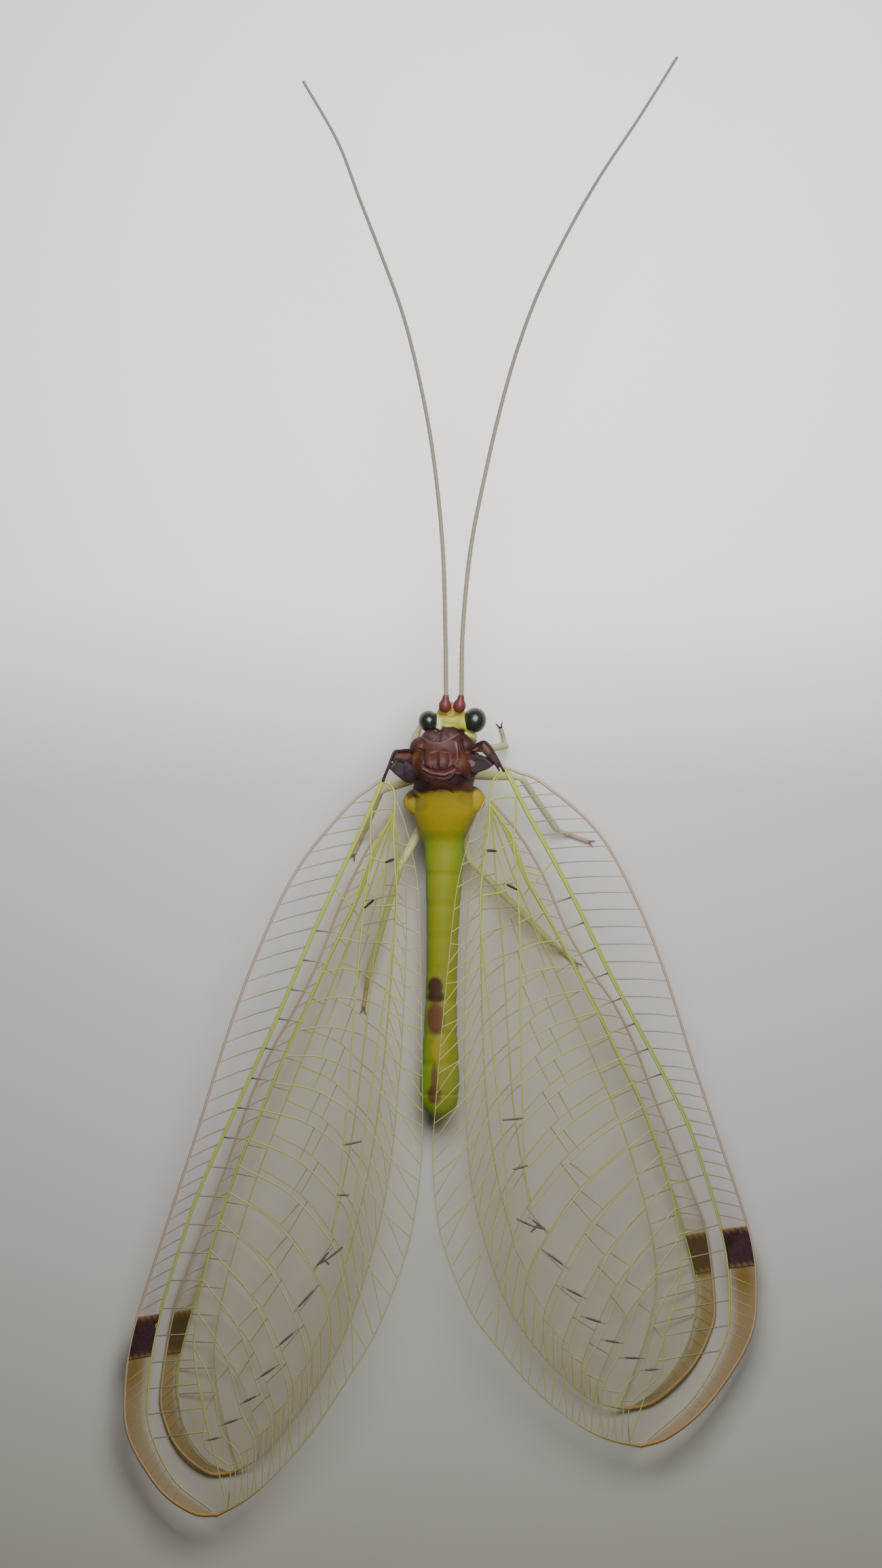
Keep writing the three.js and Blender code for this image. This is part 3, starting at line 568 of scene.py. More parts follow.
# Wings: four glassy membranes on a net of veins, held as a low roof over the abdomen.
# Outlines and veins are drawn flat for the right side, in mm about the body's middle, then carried over.
# The film is a thin closed sheet; a Geometry Nodes tree turns the drawn lines into round veins.
FOREWING = {
    "name": "forewing",
    "drop": 0.0,  # below the roof
    "low": 0.92,  # lowest underside of its solid
    "costa": [
        (1.80, 0.40), (2.20, 0.24), (2.95, -0.1), (4.58, -1.53), (5.74, -3.57), (6.63, -5.81), (7.45, -8.4),
        (8.27, -10.83), (9.2, -13.7), (9.39, -15.5), (9.13, -16.97), (7.96, -18.76), (6.75, -19.78),
        (5.9, -20.06),
    ],
    "rear": [
        (1.70, 0.2), (1.42, -0.2), (0.95, -1.2), (0.42, -3), (0.12, -5.5), (-0.12, -8), (-0.32, -10.5),
        (-0.34, -11.64), (-0.24, -12.82), (0.0, -14.06), (0.75, -15.87), (1.61, -17.04), (2.77, -18.38),
        (3.96, -19.34), (4.95, -19.85), (5.9, -20.06),
    ],
    "radius": [
        (1.80, 0.34), (2.44, -0.92), (3.19, -2.28), (3.97, -3.77), (4.95, -5.81), (5.71, -7.24), (7.1, -9.9),
        (7.66, -11.34), (8.42, -13.9), (8.59, -15.75), (8.41, -16.98), (7.5, -18.6), (6.1, -19.9),
    ],
    "sector": [
        (1.36, -0.72), (1.66, -1.14), (2.10, -1.80), (2.54, -3.05), (2.99, -3.91), (3.56, -4.88),
        (4.13, -6.11), (5.09, -7.95), (6.12, -10.2), (6.80, -12.25), (7.11, -14.5), (6.88, -15.93),
        (6.44, -17.37), (5.9, -19.0), (5.6, -19.9),
    ],
    "middle": [
        (1.82, 0.30), (2.10, -0.2), (2.15, -1.1), (2.06, -1.8), (2.15, -2.6), (2.22, -3.66), (2.28, -5.49),
        (2.30, -8.0), (2.36, -10.28), (2.44, -11.71), (2.65, -13.04), (3.61, -14.97), (4.18, -15.88),
        (5.33, -17.19), (6.54, -17.9),
    ],
    "cubitus": [
        (1.80, 0.28), (1.50, 0.10), (1.38, -0.30), (1.36, -0.72), (1.33, -1.5), (1.21, -2.4), (1.10, -3.1),
        (1.08, -3.95), (1.16, -5.15), (1.34, -6.71), (1.46, -8.14), (1.69, -10.18), (1.83, -11.61),
        (2.0, -13.4), (2.5, -15.0), (3.35, -16.6), (4.4, -17.85), (5.6, -18.8), (6.3, -19.1),
    ],
    "branch_starts": [  # y of each branch of the sector vein here, then where it meets the next three lines
        -3.95, -4.8, -5.6, -6.3, -6.95, -7.65, -8.35, -9.1, -9.8, -10.5, -11.25, -12.05, -12.9, -13.8,
        -14.8, -15.8,
    ],
    "middle_stations": [
        -4.27, -5.09, -5.9, -6.86, -7.94, -9.1, -10.28, -11.71, -12.9, -13.86, -14.97, -15.88, -16.62,
        -17.19, -17.61, -17.88,
    ],
    "cubitus_stations": [
        -4.6, -5.5, -6.4, -7.45, -8.6, -9.8, -11.1, -12.6, -14.0, -15.1, -16.3, -17.1, -17.7, -18.2,
        -18.55, -18.8,
    ],
    "rear_stations": [
        -5.2, -6.4, -7.7, -9.1, -10.6, -12.2, -13.8, -15.4, -16.7, -17.7, -18.5, -19.05, -19.45, -19.75,
        -19.9, -20.0,
    ],
    "costal_step": (0.33, 0.52, 0.41),  # first, widest and outer spacing of the front rungs
    "stigma": (-13.42, -14.62),
}
HINDWING = {
    "name": "hindwing",
    "drop": 0.92,
    "low": 0.0,
    "costa": [
        (1.42, -0.62), (2.24, -1.63), (2.96, -2.85), (3.67, -4.49), (4.39, -5.72), (5.11, -6.74),
        (5.72, -7.97), (6.34, -9.61), (7.37, -12.18), (7.89, -13.62), (8.16, -15.78), (7.99, -16.75),
        (7.4, -17.8), (6.33, -18.78), (5.53, -18.97),
    ],
    "rear": [
        (1.36, -0.8), (0.95, -2.2), (0.7, -4), (0.6, -7), (0.62, -9.5), (0.8, -12), (1.25, -14),
        (1.95, -15.9), (3.0, -17.4), (4.3, -18.6), (5.1, -18.92), (5.53, -18.97),
    ],
    "radius": [
        (1.38, -0.7), (1.83, -1.53), (2.38, -2.85), (2.96, -3.87), (3.67, -5.2), (4.49, -6.74), (5.25, -8.38),
        (6.03, -10.02), (7.06, -13.1), (7.52, -14.75), (7.6, -15.78), (7.3, -17.1), (6.5, -18.3),
        (5.6, -18.94),
    ],
    "sector": [
        (1.42, -0.9), (1.60, -1.5), (2.05, -2.8), (2.75, -4.4), (3.5, -6.1), (4.5, -8.4), (5.4, -10.6),
        (6.1, -13.0), (6.4, -14.9), (6.2, -16.4), (5.7, -17.9), (5.3, -18.9),
    ],
    "middle": [
        (1.40, -0.8), (1.50, -2.0), (1.54, -2.8), (1.75, -5), (1.9, -7.5), (2.1, -10), (2.5, -12.3),
        (3.1, -14.2), (3.9, -15.9), (4.7, -17.2), (5.3, -18.1),
    ],
    "cubitus": [
        (1.38, -0.8), (1.22, -1.6), (1.13, -2.6), (1.1, -5), (1.15, -7.5), (1.3, -10), (1.65, -12.2),
        (2.2, -14.2), (2.9, -15.9), (3.8, -17.3), (4.8, -18.4),
    ],
    "branch_starts": [
        -2.9, -3.8, -4.7, -5.6, -6.5, -7.4, -8.3, -9.2, -10.1, -11.0, -11.9, -12.9, -13.9, -15.0,
    ],
    "middle_stations": [
        -3.3, -4.4, -5.5, -6.7, -7.9, -9.1, -10.3, -11.5, -12.7, -13.9, -15.0, -16.0, -16.8, -17.5,
    ],
    "cubitus_stations": [
        -3.7, -4.9, -6.1, -7.4, -8.7, -10.0, -11.2, -12.5, -13.8, -15.0, -16.1, -17.0, -17.7, -18.2,
    ],
    "rear_stations": [
        -4.4, -5.8, -7.2, -8.6, -10.1, -11.5, -12.9, -14.2, -15.4, -16.5, -17.4, -18.0, -18.5, -18.8,
    ],
    "costal_step": (0.42, 0.50, 0.50),
    "stigma": (-13.62, -14.82),
}
MAIN_LINES, LINE_POINTS = ("costa", "rear", "radius", "sector", "middle", "cubitus"), 400
DRAWN_ROOT = np.array([1.78, 0.37])  # where the wings hinge as drawn
CARRIAGE = {  # place of the root, where the drawing's two directions point, and slopes outwards and backwards
    "right": {
        "root": (1.78, 0.37),
        "across": (1.0, 0.0),
        "back": (0.0, 1.0),
        "lean": 0.17,
        "droop": 0.097,
    },
    "left": {
        "root": (-1.8, 0.04),
        "across": (-0.888, 0.067),
        "back": (-0.2735, 1.03),
        "lean": 0.165,
        "droop": 0.085,
    },
}
ROOF, HALF_SOLID, FLOOR_CLEARANCE, RIPPLE = 4.0, 0.25, 0.12, 0.05
MEMBRANE_ROWS, MEMBRANE_COLUMNS, MEMBRANE_THICK = 110, 44, 0.014
FIRST_ROW, ROW_REACH = 0.002, 0.996  # shares of the length from root to tip
ROW_CROWDING, COLUMN_CROWDING = 1.1, 1.35


def carried(side, wing, flat):
    """Points drawn flat for the right wing, laid on the roof of either side at the height of its solid."""
    pose = CARRIAGE[side]
    flat = np.asarray(flat, float)
    x = pose["root"][0] + (flat - DRAWN_ROOT) @ np.array(pose["across"])
    y = pose["root"][1] + (flat - DRAWN_ROOT) @ np.array(pose["back"])
    z = ROOF - pose["lean"] * np.abs(x) - pose["droop"] * np.maximum(0, -y) - wing["drop"]
    bottom = np.maximum(wing["low"], z - HALF_SOLID)
    ripple = RIPPLE * np.sin(flat[..., 0] * 2.4 + flat[..., 1] * 0.5)
    return np.stack([x, y, bottom + (HALF_SOLID if wing["low"] else FLOOR_CLEARANCE) + ripple], axis=-1)


def at_level(curve, y):
    """The point of a curve, which runs from root to tip, at the given y."""
    return np.array([np.interp(-y, -curve[:, 1], curve[:, 0]), np.clip(y, curve[-1, 1], curve[0, 1])])


def outlines(wing):
    """The wing's edges and main veins as smooth runs of points."""
    return {name: flowing(wing[name], LINE_POINTS) for name in MAIN_LINES}


def sheet(name, side, wing, grid):
    """A sheet of four-cornered faces through a grid of flat points."""
    form = bmesh.new()
    verts = [[form.verts.new(p) for p in row] for row in carried(side, wing, grid)]
    for a, b in zip(verts, verts[1:]):
        for k in range(len(a) - 1):
            form.faces.new((a[k], a[k + 1], b[k + 1], b[k]))
    return drawn(name, form)


def thickened(obj, thick):
    """Gives a sheet its thickness and closes its rim."""
    thickness = obj.modifiers.new("thickness", "SOLIDIFY")
    thickness.thickness = thick
    thickness.offset = 0
    return evaluated(obj)


def membrane(wing, side):
    """A thin closed sheet between the wing's front and rear edges, with an amber share and a rear share."""
    lines = outlines(wing)
    root, tip = lines["costa"][0], lines["costa"][-1]
    length = np.linalg.norm(tip - root)
    axis = (tip - root) / length
    share = np.linspace(0, 1, MEMBRANE_COLUMNS + 1)[:, None] ** COLUMN_CROWDING
    rows = []
    for i in range(MEMBRANE_ROWS + 1):
        row_share = math.sin(0.5 * math.pi * i / MEMBRANE_ROWS) ** ROW_CROWDING
        far = length * (FIRST_ROW + ROW_REACH * row_share)
        edge = []
        for name in ("costa", "rear"):
            reach = np.maximum.accumulate((lines[name] - root) @ axis)
            edge.append(np.array([np.interp(far, reach, lines[name][:, k]) for k in (0, 1)]))
        rows.append(edge[0] * (1 - share) + edge[1] * share)
    grid = np.array(rows)
    obj = sheet(f"{wing['name']}_membrane_{side}", side, wing, grid)
    flat = grid.reshape(-1, 2)
    front = np.interp(-flat[:, 1], -lines["costa"][:, 1], lines["costa"][:, 0])
    bar = np.interp(-flat[:, 1], -lines["radius"][:, 1], lines["radius"][:, 0])
    inside = np.clip((flat[:, 0] - bar) / np.maximum(front - bar, 0.4), -1, 1)
    beyond = smooth(-flat[:, 1], -wing["stigma"][0] - 1.4, -wing["stigma"][1] + 0.3)
    marks = {"amber": smooth(inside, -0.12, 0.40) * beyond, "rear_share": smooth(bar - flat[:, 0], -0.1, 0.3)}
    for name, values in marks.items():
        obj.data.attributes.new(name, "FLOAT", "POINT").data.foreach_set("value", values)
    return thickened(obj, MEMBRANE_THICK)


FILM_CLEAR, FILM_AMBER = 0.068, 0.32  # how far each face hides what is behind it
CRINKLES_A_METRE, CRINKLE_DEPTH = 700, 0.00004
BLEND_FROM, BLEND_TO, BLENDED = 6, 7, 2  # the colour sockets of a blend node


def blend_node(nodes, links, attribute):
    """A blend of two colours by a share that each point carries, and the node that reads the share."""
    share = nodes.new("ShaderNodeAttribute")
    share.attribute_name = attribute
    blend = nodes.new("ShaderNodeMix")
    blend.data_type = "RGBA"
    links.new(share.outputs["Fac"], blend.inputs["Factor"])
    return blend, share


def film():
    """Clear wing film: faintly mauve in front, olive behind, amber along the front edge beyond the stigma."""
    material = bpy.data.materials.new("wing_film")
    material.use_nodes = True
    nodes, links = material.node_tree.nodes, material.node_tree.links
    shader = nodes["Principled BSDF"]
    place = nodes.new("ShaderNodeTexCoord")
    cloud = nodes.new("ShaderNodeTexNoise")
    cloud.inputs["Scale"].default_value = CRINKLES_A_METRE
    cloud.inputs["Detail"].default_value = 5
    links.new(place.outputs["Object"], cloud.inputs["Vector"])
    olive = nodes.new("ShaderNodeValToRGB")
    for stop, position, code in zip(olive.color_ramp.elements, (0.35, 0.65), ("#8e8334", "#a09356")):
        stop.position = position
        stop.color = tint(code)
    links.new(cloud.outputs["Fac"], olive.inputs["Fac"])
    behind, _ = blend_node(nodes, links, "rear_share")
    behind.inputs[BLEND_FROM].default_value = tint("#b0a6a6")
    links.new(olive.outputs["Color"], behind.inputs[BLEND_TO])
    rim, amber_share = blend_node(nodes, links, "amber")
    rim.inputs[BLEND_TO].default_value = tint("#8c6c12")
    links.new(behind.outputs[BLENDED], rim.inputs[BLEND_FROM])
    links.new(rim.outputs[BLENDED], shader.inputs["Base Color"])
    clear = nodes.new("ShaderNodeMapRange")
    clear.inputs["To Min"].default_value = FILM_CLEAR
    clear.inputs["To Max"].default_value = FILM_AMBER
    links.new(amber_share.outputs["Fac"], clear.inputs["Value"])
    links.new(clear.outputs["Result"], shader.inputs["Alpha"])
    shader.inputs["Roughness"].default_value = 0.2
    shader.inputs["Coat Weight"].default_value = 0.2
    crinkle = nodes.new("ShaderNodeBump")
    crinkle.inputs["Strength"].default_value = 0.35
    crinkle.inputs["Distance"].default_value = CRINKLE_DEPTH
    links.new(cloud.outputs["Fac"], crinkle.inputs["Height"])
    links.new(crinkle.outputs["Normal"], shader.inputs["Normal"])
    return material


VEIN_COLOURS = {
    "green": tint("#96a044"), "pale": tint("#9a9c62"), "margin": tint("#a08c7a"), "dusk": tint("#74745c"),
    "dark": tint("#2c2824"), "rim": tint("#94743c"), "dash": tint("#575048"),
}
MARKS = [  # short dark cross veins between the cubitus and the middle vein, then the forked mark
    ((1.75, -10.20), (2.38, -10.14)), ((2.06, -11.69), (2.50, -11.57)), ((2.17, -13.18), (2.63, -13.39)),
    ((2.63, -13.39), (3.00, -13.48)), ((2.60, -13.58), (2.84, -13.32)),
]
MARK_THICK, BASE_MARK_THICK, STEP_MARK_THICK = 0.034, 0.042, 0.036
BASE_MARKS = [((1.24, -2.10), (1.56, -2.12)), ((1.86, -3.12), (2.18, -3.28))]
BASE_LINKS = [  # fine veins near the root that close its first cells
    [(1.56, -2.12), (2.06, -1.85)], [(1.56, -2.12), (1.72, -2.6), (1.86, -3.12)],
    [(3.25, -2.42), (2.87, -2.87), (2.62, -3.2)], [(2.87, -2.87), (2.42, -2.72)],
    [(1.37, -0.60), (1.75, -0.50), (2.13, -0.52)], [(1.12, -3.46), (1.7, -3.36), (2.18, -3.20)],
]
VEIN_STEP, SHORTEST_VEIN, DASH_END = 0.25, 0.02, 0.7


class Net:
    """The veins of one wing as flat lines, each with a half thickness and a colour at both its ends."""

    def __init__(self, wing, side):
        self.wing, self.side = wing, side
        self.points, self.edges, self.thick, self.colour = [], [], [], []

    def line(self, points, thick, first, last=None, thick_end=None):
        """Adds a vein; first and last name its colours, and it tapers to thick_end."""
        points = np.asarray(points, float)
        gaps = np.linalg.norm(np.diff(points, axis=0), axis=1)
        length = gaps.sum()
        if length < SHORTEST_VEIN:
            return
        stops = np.linspace(0, length, max(2, int(length / VEIN_STEP) + 1))
        run = np.concatenate([[0], np.cumsum(gaps)])
        flat = np.column_stack([np.interp(stops, run, points[:, i]) for i in (0, 1)])
        start = len(self.points)
        share = (stops / length)[:, None]
        first, last = VEIN_COLOURS[first], VEIN_COLOURS[last or first]
        thick_end = thick if thick_end is None else thick_end
        self.points.extend(carried(self.side, self.wing, flat))
        self.edges.extend((start + i, start + i + 1) for i in range(len(flat) - 1))
        self.thick.extend(thick + (thick_end - thick) * share[:, 0])
        self.colour.extend(first * (1 - share) + last * share)

    def dash(self, start, end, thick, colour="dark"):
        """A short dark mark, thickest at its middle."""
        middle = (np.array(start) + np.array(end)) / 2
        self.line([start, middle], thick * DASH_END, colour, None, thick)
        self.line([middle, end], thick, colour, None, thick * DASH_END)


BRANCH_POINTS, FIRST_OUTER = 81, 8  # from the branch of this number on, the net is paler and stepped
BRANCH_BOW = 0.06  # as a share of its first leg
BRANCH_LEGS = (0, 41, 61, 72)  # points of a branch at the sector, the middle vein, the cubitus and its fork


def branch(lines, wing, k):
    """One branch of the sector vein: down to the middle vein, over the cubitus and out to the rear edge."""
    stops = [
        at_level(lines["sector"], wing["branch_starts"][k]),
        at_level(lines["middle"], wing["middle_stations"][k]),
        at_level(lines["cubitus"], wing["cubitus_stations"][k]),
        at_level(lines["rear"], wing["rear_stations"][k]),
    ]
    chord = stops[1] - stops[0]
    bow = stops[0] + chord * 0.5 + np.array([chord[1], -chord[0]]) * BRANCH_BOW
    return flowing([stops[0], bow, *stops[1:]], BRANCH_POINTS)


COSTA_THICK, RIM_THICK = (0.044, 0.036), (0.03, 0.062)  # half thickness at both ends of each run
REAR_THICK, TAIL_THICK, TAIL_START = (0.011, 0.016), (0.016, 0.05), 0.86
TWIN_OFFSET, TWIN_LENGTH = np.array([0.058, 0.024]), 0.8
STOUT, FINE = 0.05, 0.019  # half thickness of the stems and of the cross veins
RIM_RUNGS, SECTOR_RUNGS, REAR_RUNGS, STEM_RUNGS = 0.33, 0.76, 0.6, 0.7  # spacings of the rungs


def edges_and_stems(net, wing, lines, scale, fine):
    """The margins and the long main veins."""
    costa, rear = lines["costa"], lines["rear"]
    turn = int(np.argmax(costa[:, 1] < wing["stigma"][0]))
    tail = int(len(rear) * TAIL_START)
    net.line(costa[: turn + 1], COSTA_THICK[0] * scale, "margin", "margin", COSTA_THICK[1] * scale)
    net.line(costa[turn:], RIM_THICK[0], "margin", "rim", RIM_THICK[1])
    net.line(rear[: tail + 1], REAR_THICK[0], "pale", "pale", REAR_THICK[1])
    net.line(rear[tail:], TAIL_THICK[0], "pale", "rim", TAIL_THICK[1])
    twin = lines["radius"] + TWIN_OFFSET * scale
    stout = STOUT * scale
    net.line(lines["radius"], stout, "green", "pale", fine * 1.3)
    net.line(twin[: int(len(twin) * TWIN_LENGTH)], stout * 0.7, "green", "pale", fine)
    net.line(lines["sector"], stout * 0.6, "green", "pale", fine)
    for name in ("middle", "cubitus"):
        inner = lines[name][:, 1] > wing[f"{name}_stations"][FIRST_OUTER]
        net.line(lines[name][inner], stout * 0.6, "green", "pale", fine * 1.2)


def costal_rungs(net, wing, lines, fine, fore):
    """The ladder between the radius and the front margin, close-set beyond the stigma."""
    costa = lines["costa"]
    level, count = lines["radius"][0, 1] - 0.55, 0
    start, wide, late = wing["costal_step"]
    while level > wing["stigma"][0]:
        lift = np.clip(0.16 - 0.035 * -level, -0.2, 0.16) if fore else -0.12
        foot, head = at_level(lines["radius"], level), at_level(costa, level + lift)
        bow = (foot + head) / 2 + np.array([0, 0.03])
        net.line([foot, bow, head], fine, "dusk", "margin", fine * 0.8)
        level -= min(wide, start + 0.02 * count) if count < 18 else late
        count += 1
    level = wing["stigma"][1] - 0.3
    while level > costa[-1][1] + 0.9:
        net.line([at_level(lines["radius"], level), at_level(costa, level - 0.35)], fine * 0.7, "pale", "rim")
        level -= RIM_RUNGS


def cross_veins(net, wing, lines, fine, fore):
    """The rungs between radius and sector, behind the cubitus, and between middle vein and cubitus."""
    level = wing["branch_starts"][0] + 0.45
    while level > lines["radius"][-1, 1] + 2.5:
        start = at_level(lines["radius"], level)
        end = at_level(lines["sector"], level - 0.3)
        middle = (start + end) / 2
        near = "dark" if fore and level > -9.5 else "dusk"
        net.line([start, middle], fine * (1.3 if near == "dark" else 1), near, "dusk", fine)
        net.line([middle, end], fine, "dusk", "green")
        level -= SECTOR_RUNGS
    level = wing["cubitus_stations"][0] + 3.0
    while level > wing["cubitus_stations"][0] + 0.3:
        drop = 0.25 + 0.12 * max(0, -level - 1.5)
        start, end = at_level(lines["cubitus"], level), at_level(lines["rear"], level - drop)
        net.line([start, end], fine, "dusk", "pale")
        level -= REAR_RUNGS
    level = wing["middle_stations"][0] + 1.2
    while level > wing["middle_stations"][0]:
        net.line([at_level(lines["middle"], level), at_level(lines["cubitus"], level - 0.1)], fine, "dusk")
        level -= STEM_RUNGS


def branches_and_steps(net, wing, lines, fine, fore):
    """The sector's branches, forked at the rear edge, and the two stepped rows of cross veins over them."""
    count = len(wing["branch_starts"])
    sector, middle, cubitus, fork = BRANCH_LEGS
    paths = [branch(lines, wing, k) for k in range(count)]
    for k, path in enumerate(paths):
        outer = k >= FIRST_OUTER
        net.line(path[sector : middle + 1], fine, "pale" if outer else "green", "pale")
        net.line(path[middle : cubitus + 1], fine * 0.95, "pale" if outer else "dusk", "pale")
        net.line(path[cubitus : fork + 1], fine * 0.9, "pale")
        spread = abs(wing["rear_stations"][min(k + 1, count - 1)] - wing["rear_stations"][k])
        spread = min(0.3, spread * 0.25)
        for way in (-1, 1):
            end = at_level(lines["rear"], wing["rear_stations"][k] + way * spread)
            net.line([path[fork], end], fine * 0.8, "pale")
    for a, b, k in zip(paths, paths[1:], range(count)):
        net.line([a[24], b[20]], fine * 0.85, "dusk", "pale")
        net.line([(a[cubitus] + b[cubitus]) / 2, (a[-1] + b[-1]) / 2], fine * 0.85, "pale")
        if k >= FIRST_OUTER:
            start, end = a[middle + 2], b[middle - 4]
            net.line([start, end], fine * 0.8, "dusk")
            net.line([a[cubitus + 1], b[cubitus - 3]], fine * 0.8, "pale")
            if fore and k < count - 1:
                span = end - start
                net.dash(start + span * 0.24, start + span * 0.78, STEP_MARK_THICK, "dash")


FRINGE_START, FRINGE_STEP = 0.6, 0.085
HAIR_LENGTH, HAIR_LEAN, HAIR_THICK = 0.13, 0.7, (0.0035, 0.0015)


def fringe(net, lines):
    """Short fine hairs along both margins, leaning towards the tip."""
    for name, way in (("costa", -1), ("rear", 1)):
        edge = lines[name]
        run = np.concatenate([[0], np.cumsum(np.linalg.norm(np.diff(edge, axis=0), axis=1))])
        for stop in np.arange(FRINGE_START, run[-1], FRINGE_STEP):
            at = np.array([np.interp(stop, run, edge[:, k]) for k in (0, 1)])
            ahead = np.array([np.interp(stop + 0.05, run, edge[:, k]) for k in (0, 1)]) - at
            ahead = ahead / max(1e-6, np.linalg.norm(ahead))
            outwards = np.array([ahead[1], -ahead[0]]) * way
            hair_tip = at + (ahead * HAIR_LEAN + outwards * HAIR_LEAN) * HAIR_LENGTH
            net.line([at, hair_tip], HAIR_THICK[0], "dusk", None, HAIR_THICK[1])


def vein_net(wing, side):
    """All the lines of one wing."""
    lines = outlines(wing)
    net = Net(wing, side)
    fore = wing["name"] == "forewing"
    scale = 1.0 if fore else 0.85
    fine = FINE * scale
    edges_and_stems(net, wing, lines, scale, fine)
    costal_rungs(net, wing, lines, fine, fore)
    cross_veins(net, wing, lines, fine, fore)
    branches_and_steps(net, wing, lines, fine, fore)
    fringe(net, lines)
    if fore:
        for start, end in MARKS:
            net.dash(start, end, MARK_THICK, "dash")
        for start, end in BASE_MARKS:
            net.dash(start, end, BASE_MARK_THICK)
        for points in BASE_LINKS:
            net.line(points, fine * 1.2, "green")
    return net


def vein_tree():
    """Node tree that turns edges into round veins, as thick as their thick attribute says."""
    tree = bpy.data.node_groups.new("veins", "GeometryNodeTree")
    for name, kind in (("Geometry", "Geometry"), ("Sides", "Int"), ("Finish", "Material")):
        tree.interface.new_socket(name, in_out="INPUT", socket_type=f"NodeSocket{kind}")
    tree.interface.new_socket("Geometry", in_out="OUTPUT", socket_type="NodeSocketGeometry")
    nodes, links = tree.nodes, tree.links
    inside, outside = nodes.new("NodeGroupInput"), nodes.new("NodeGroupOutput")
    wire = nodes.new("GeometryNodeMeshToCurve")
    ring = nodes.new("GeometryNodeCurvePrimitiveCircle")
    ring.inputs["Radius"].default_value = 1
    thick = nodes.new("GeometryNodeInputNamedAttribute")
    thick.data_type = "FLOAT"
    thick.inputs["Name"].default_value = "thick"
    around = nodes.new("GeometryNodeCurveToMesh")
    around.inputs["Fill Caps"].default_value = True
    real = nodes.new("GeometryNodeRealizeInstances")
    coat = nodes.new("GeometryNodeSetMaterial")
    links.new(inside.outputs["Geometry"], wire.inputs["Mesh"])
    links.new(inside.outputs["Sides"], ring.inputs["Resolution"])
    links.new(wire.outputs["Curve"], around.inputs["Curve"])
    links.new(ring.outputs["Curve"], around.inputs["Profile Curve"])
    links.new(thick.outputs["Attribute"], around.inputs["Scale"])
    links.new(around.outputs["Mesh"], real.inputs["Geometry"])
    links.new(real.outputs["Geometry"], coat.inputs["Geometry"])
    links.new(inside.outputs["Finish"], coat.inputs["Material"])
    links.new(coat.outputs["Geometry"], outside.inputs["Geometry"])
    return tree


VEIN_SIDES = 6
wing_film = film()
vein_shell = surface("vein_chitin", 0.5, 0.04, 0.4, 30000, mottle=0.06)
vein_maker = vein_tree()
vein_sockets = {
    socket.name: socket.identifier for socket in vein_maker.interface.items_tree if socket.in_out == "INPUT"
}
for wing in (FOREWING, HINDWING):
    for side in ("left", "right"):
        finished(membrane(wing, side), wing_film, [f"{wing['name']}_{side}"])
        net = vein_net(wing, side)
        wire_mesh = bpy.data.meshes.new("wire")
        wire_mesh.from_pydata([tuple(p) for p in net.points], net.edges, [])
        wire_mesh.attributes.new("thick", "FLOAT", "POINT").data.foreach_set("value", net.thick)
        paint = wire_mesh.attributes.new("paint", "FLOAT_COLOR", "POINT")
        paint.data.foreach_set("color", np.array(net.colour).ravel())
        veins = bpy.data.objects.new(f"{wing['name']}_veins_{side}", wire_mesh)
        bpy.context.scene.collection.objects.link(veins)
        maker = veins.modifiers.new("veins", "NODES")
        maker.node_group = vein_maker
        maker[vein_sockets["Sides"]] = VEIN_SIDES
        maker[vein_sockets["Finish"]] = vein_shell
        finished(evaluated(veins), vein_shell)

# Stigmas: a maroon-black thickened cell on the front edge of each wing, browner and mottled at its ends.
# Each is a thin closed plate that fills the space between the two front veins.
STIGMA_ROWS, STIGMA_COLUMNS, STIGMA_THICK = 24, 12, 0.045
STIGMA_SLANT, STIGMA_INSET = 0.1, 0.02


def stigma_paint(at):
    """Dark in the middle and amber brown at the two ends."""
    along = np.abs(np.linspace(-1, 1, STIGMA_ROWS + 1)).repeat(STIGMA_COLUMNS + 1)
    ragged = 0.08 * np.sin(at[:, 0] * 31 + at[:, 1] * 17)
    ends = smooth(along + ragged, 0.7, 1.05)[:, None]
    return tint("#301a1c") * (1 - ends) + tint("#6d5232") * ends


stigma_shell = surface("stigma_chitin", 0.5, 0.05, 0.5, 9000, mottle=0.2)
for wing in (FOREWING, HINDWING):
    lines = outlines(wing)
    grid = []
    for level in np.linspace(*wing["stigma"], STIGMA_ROWS + 1):
        foot, head = at_level(lines["radius"], level - STIGMA_SLANT), at_level(lines["costa"], level)
        columns = [STIGMA_INSET + k / STIGMA_COLUMNS for k in range(STIGMA_COLUMNS + 1)]
        grid.append([foot + (head - foot) * share for share in columns])
    for side in ("left", "right"):
        mark = sheet(f"{wing['name']}_stigma_{side}", side, wing, np.array(grid))
        painted(mark, stigma_paint)
        finished(thickened(mark, STIGMA_THICK), stigma_shell)

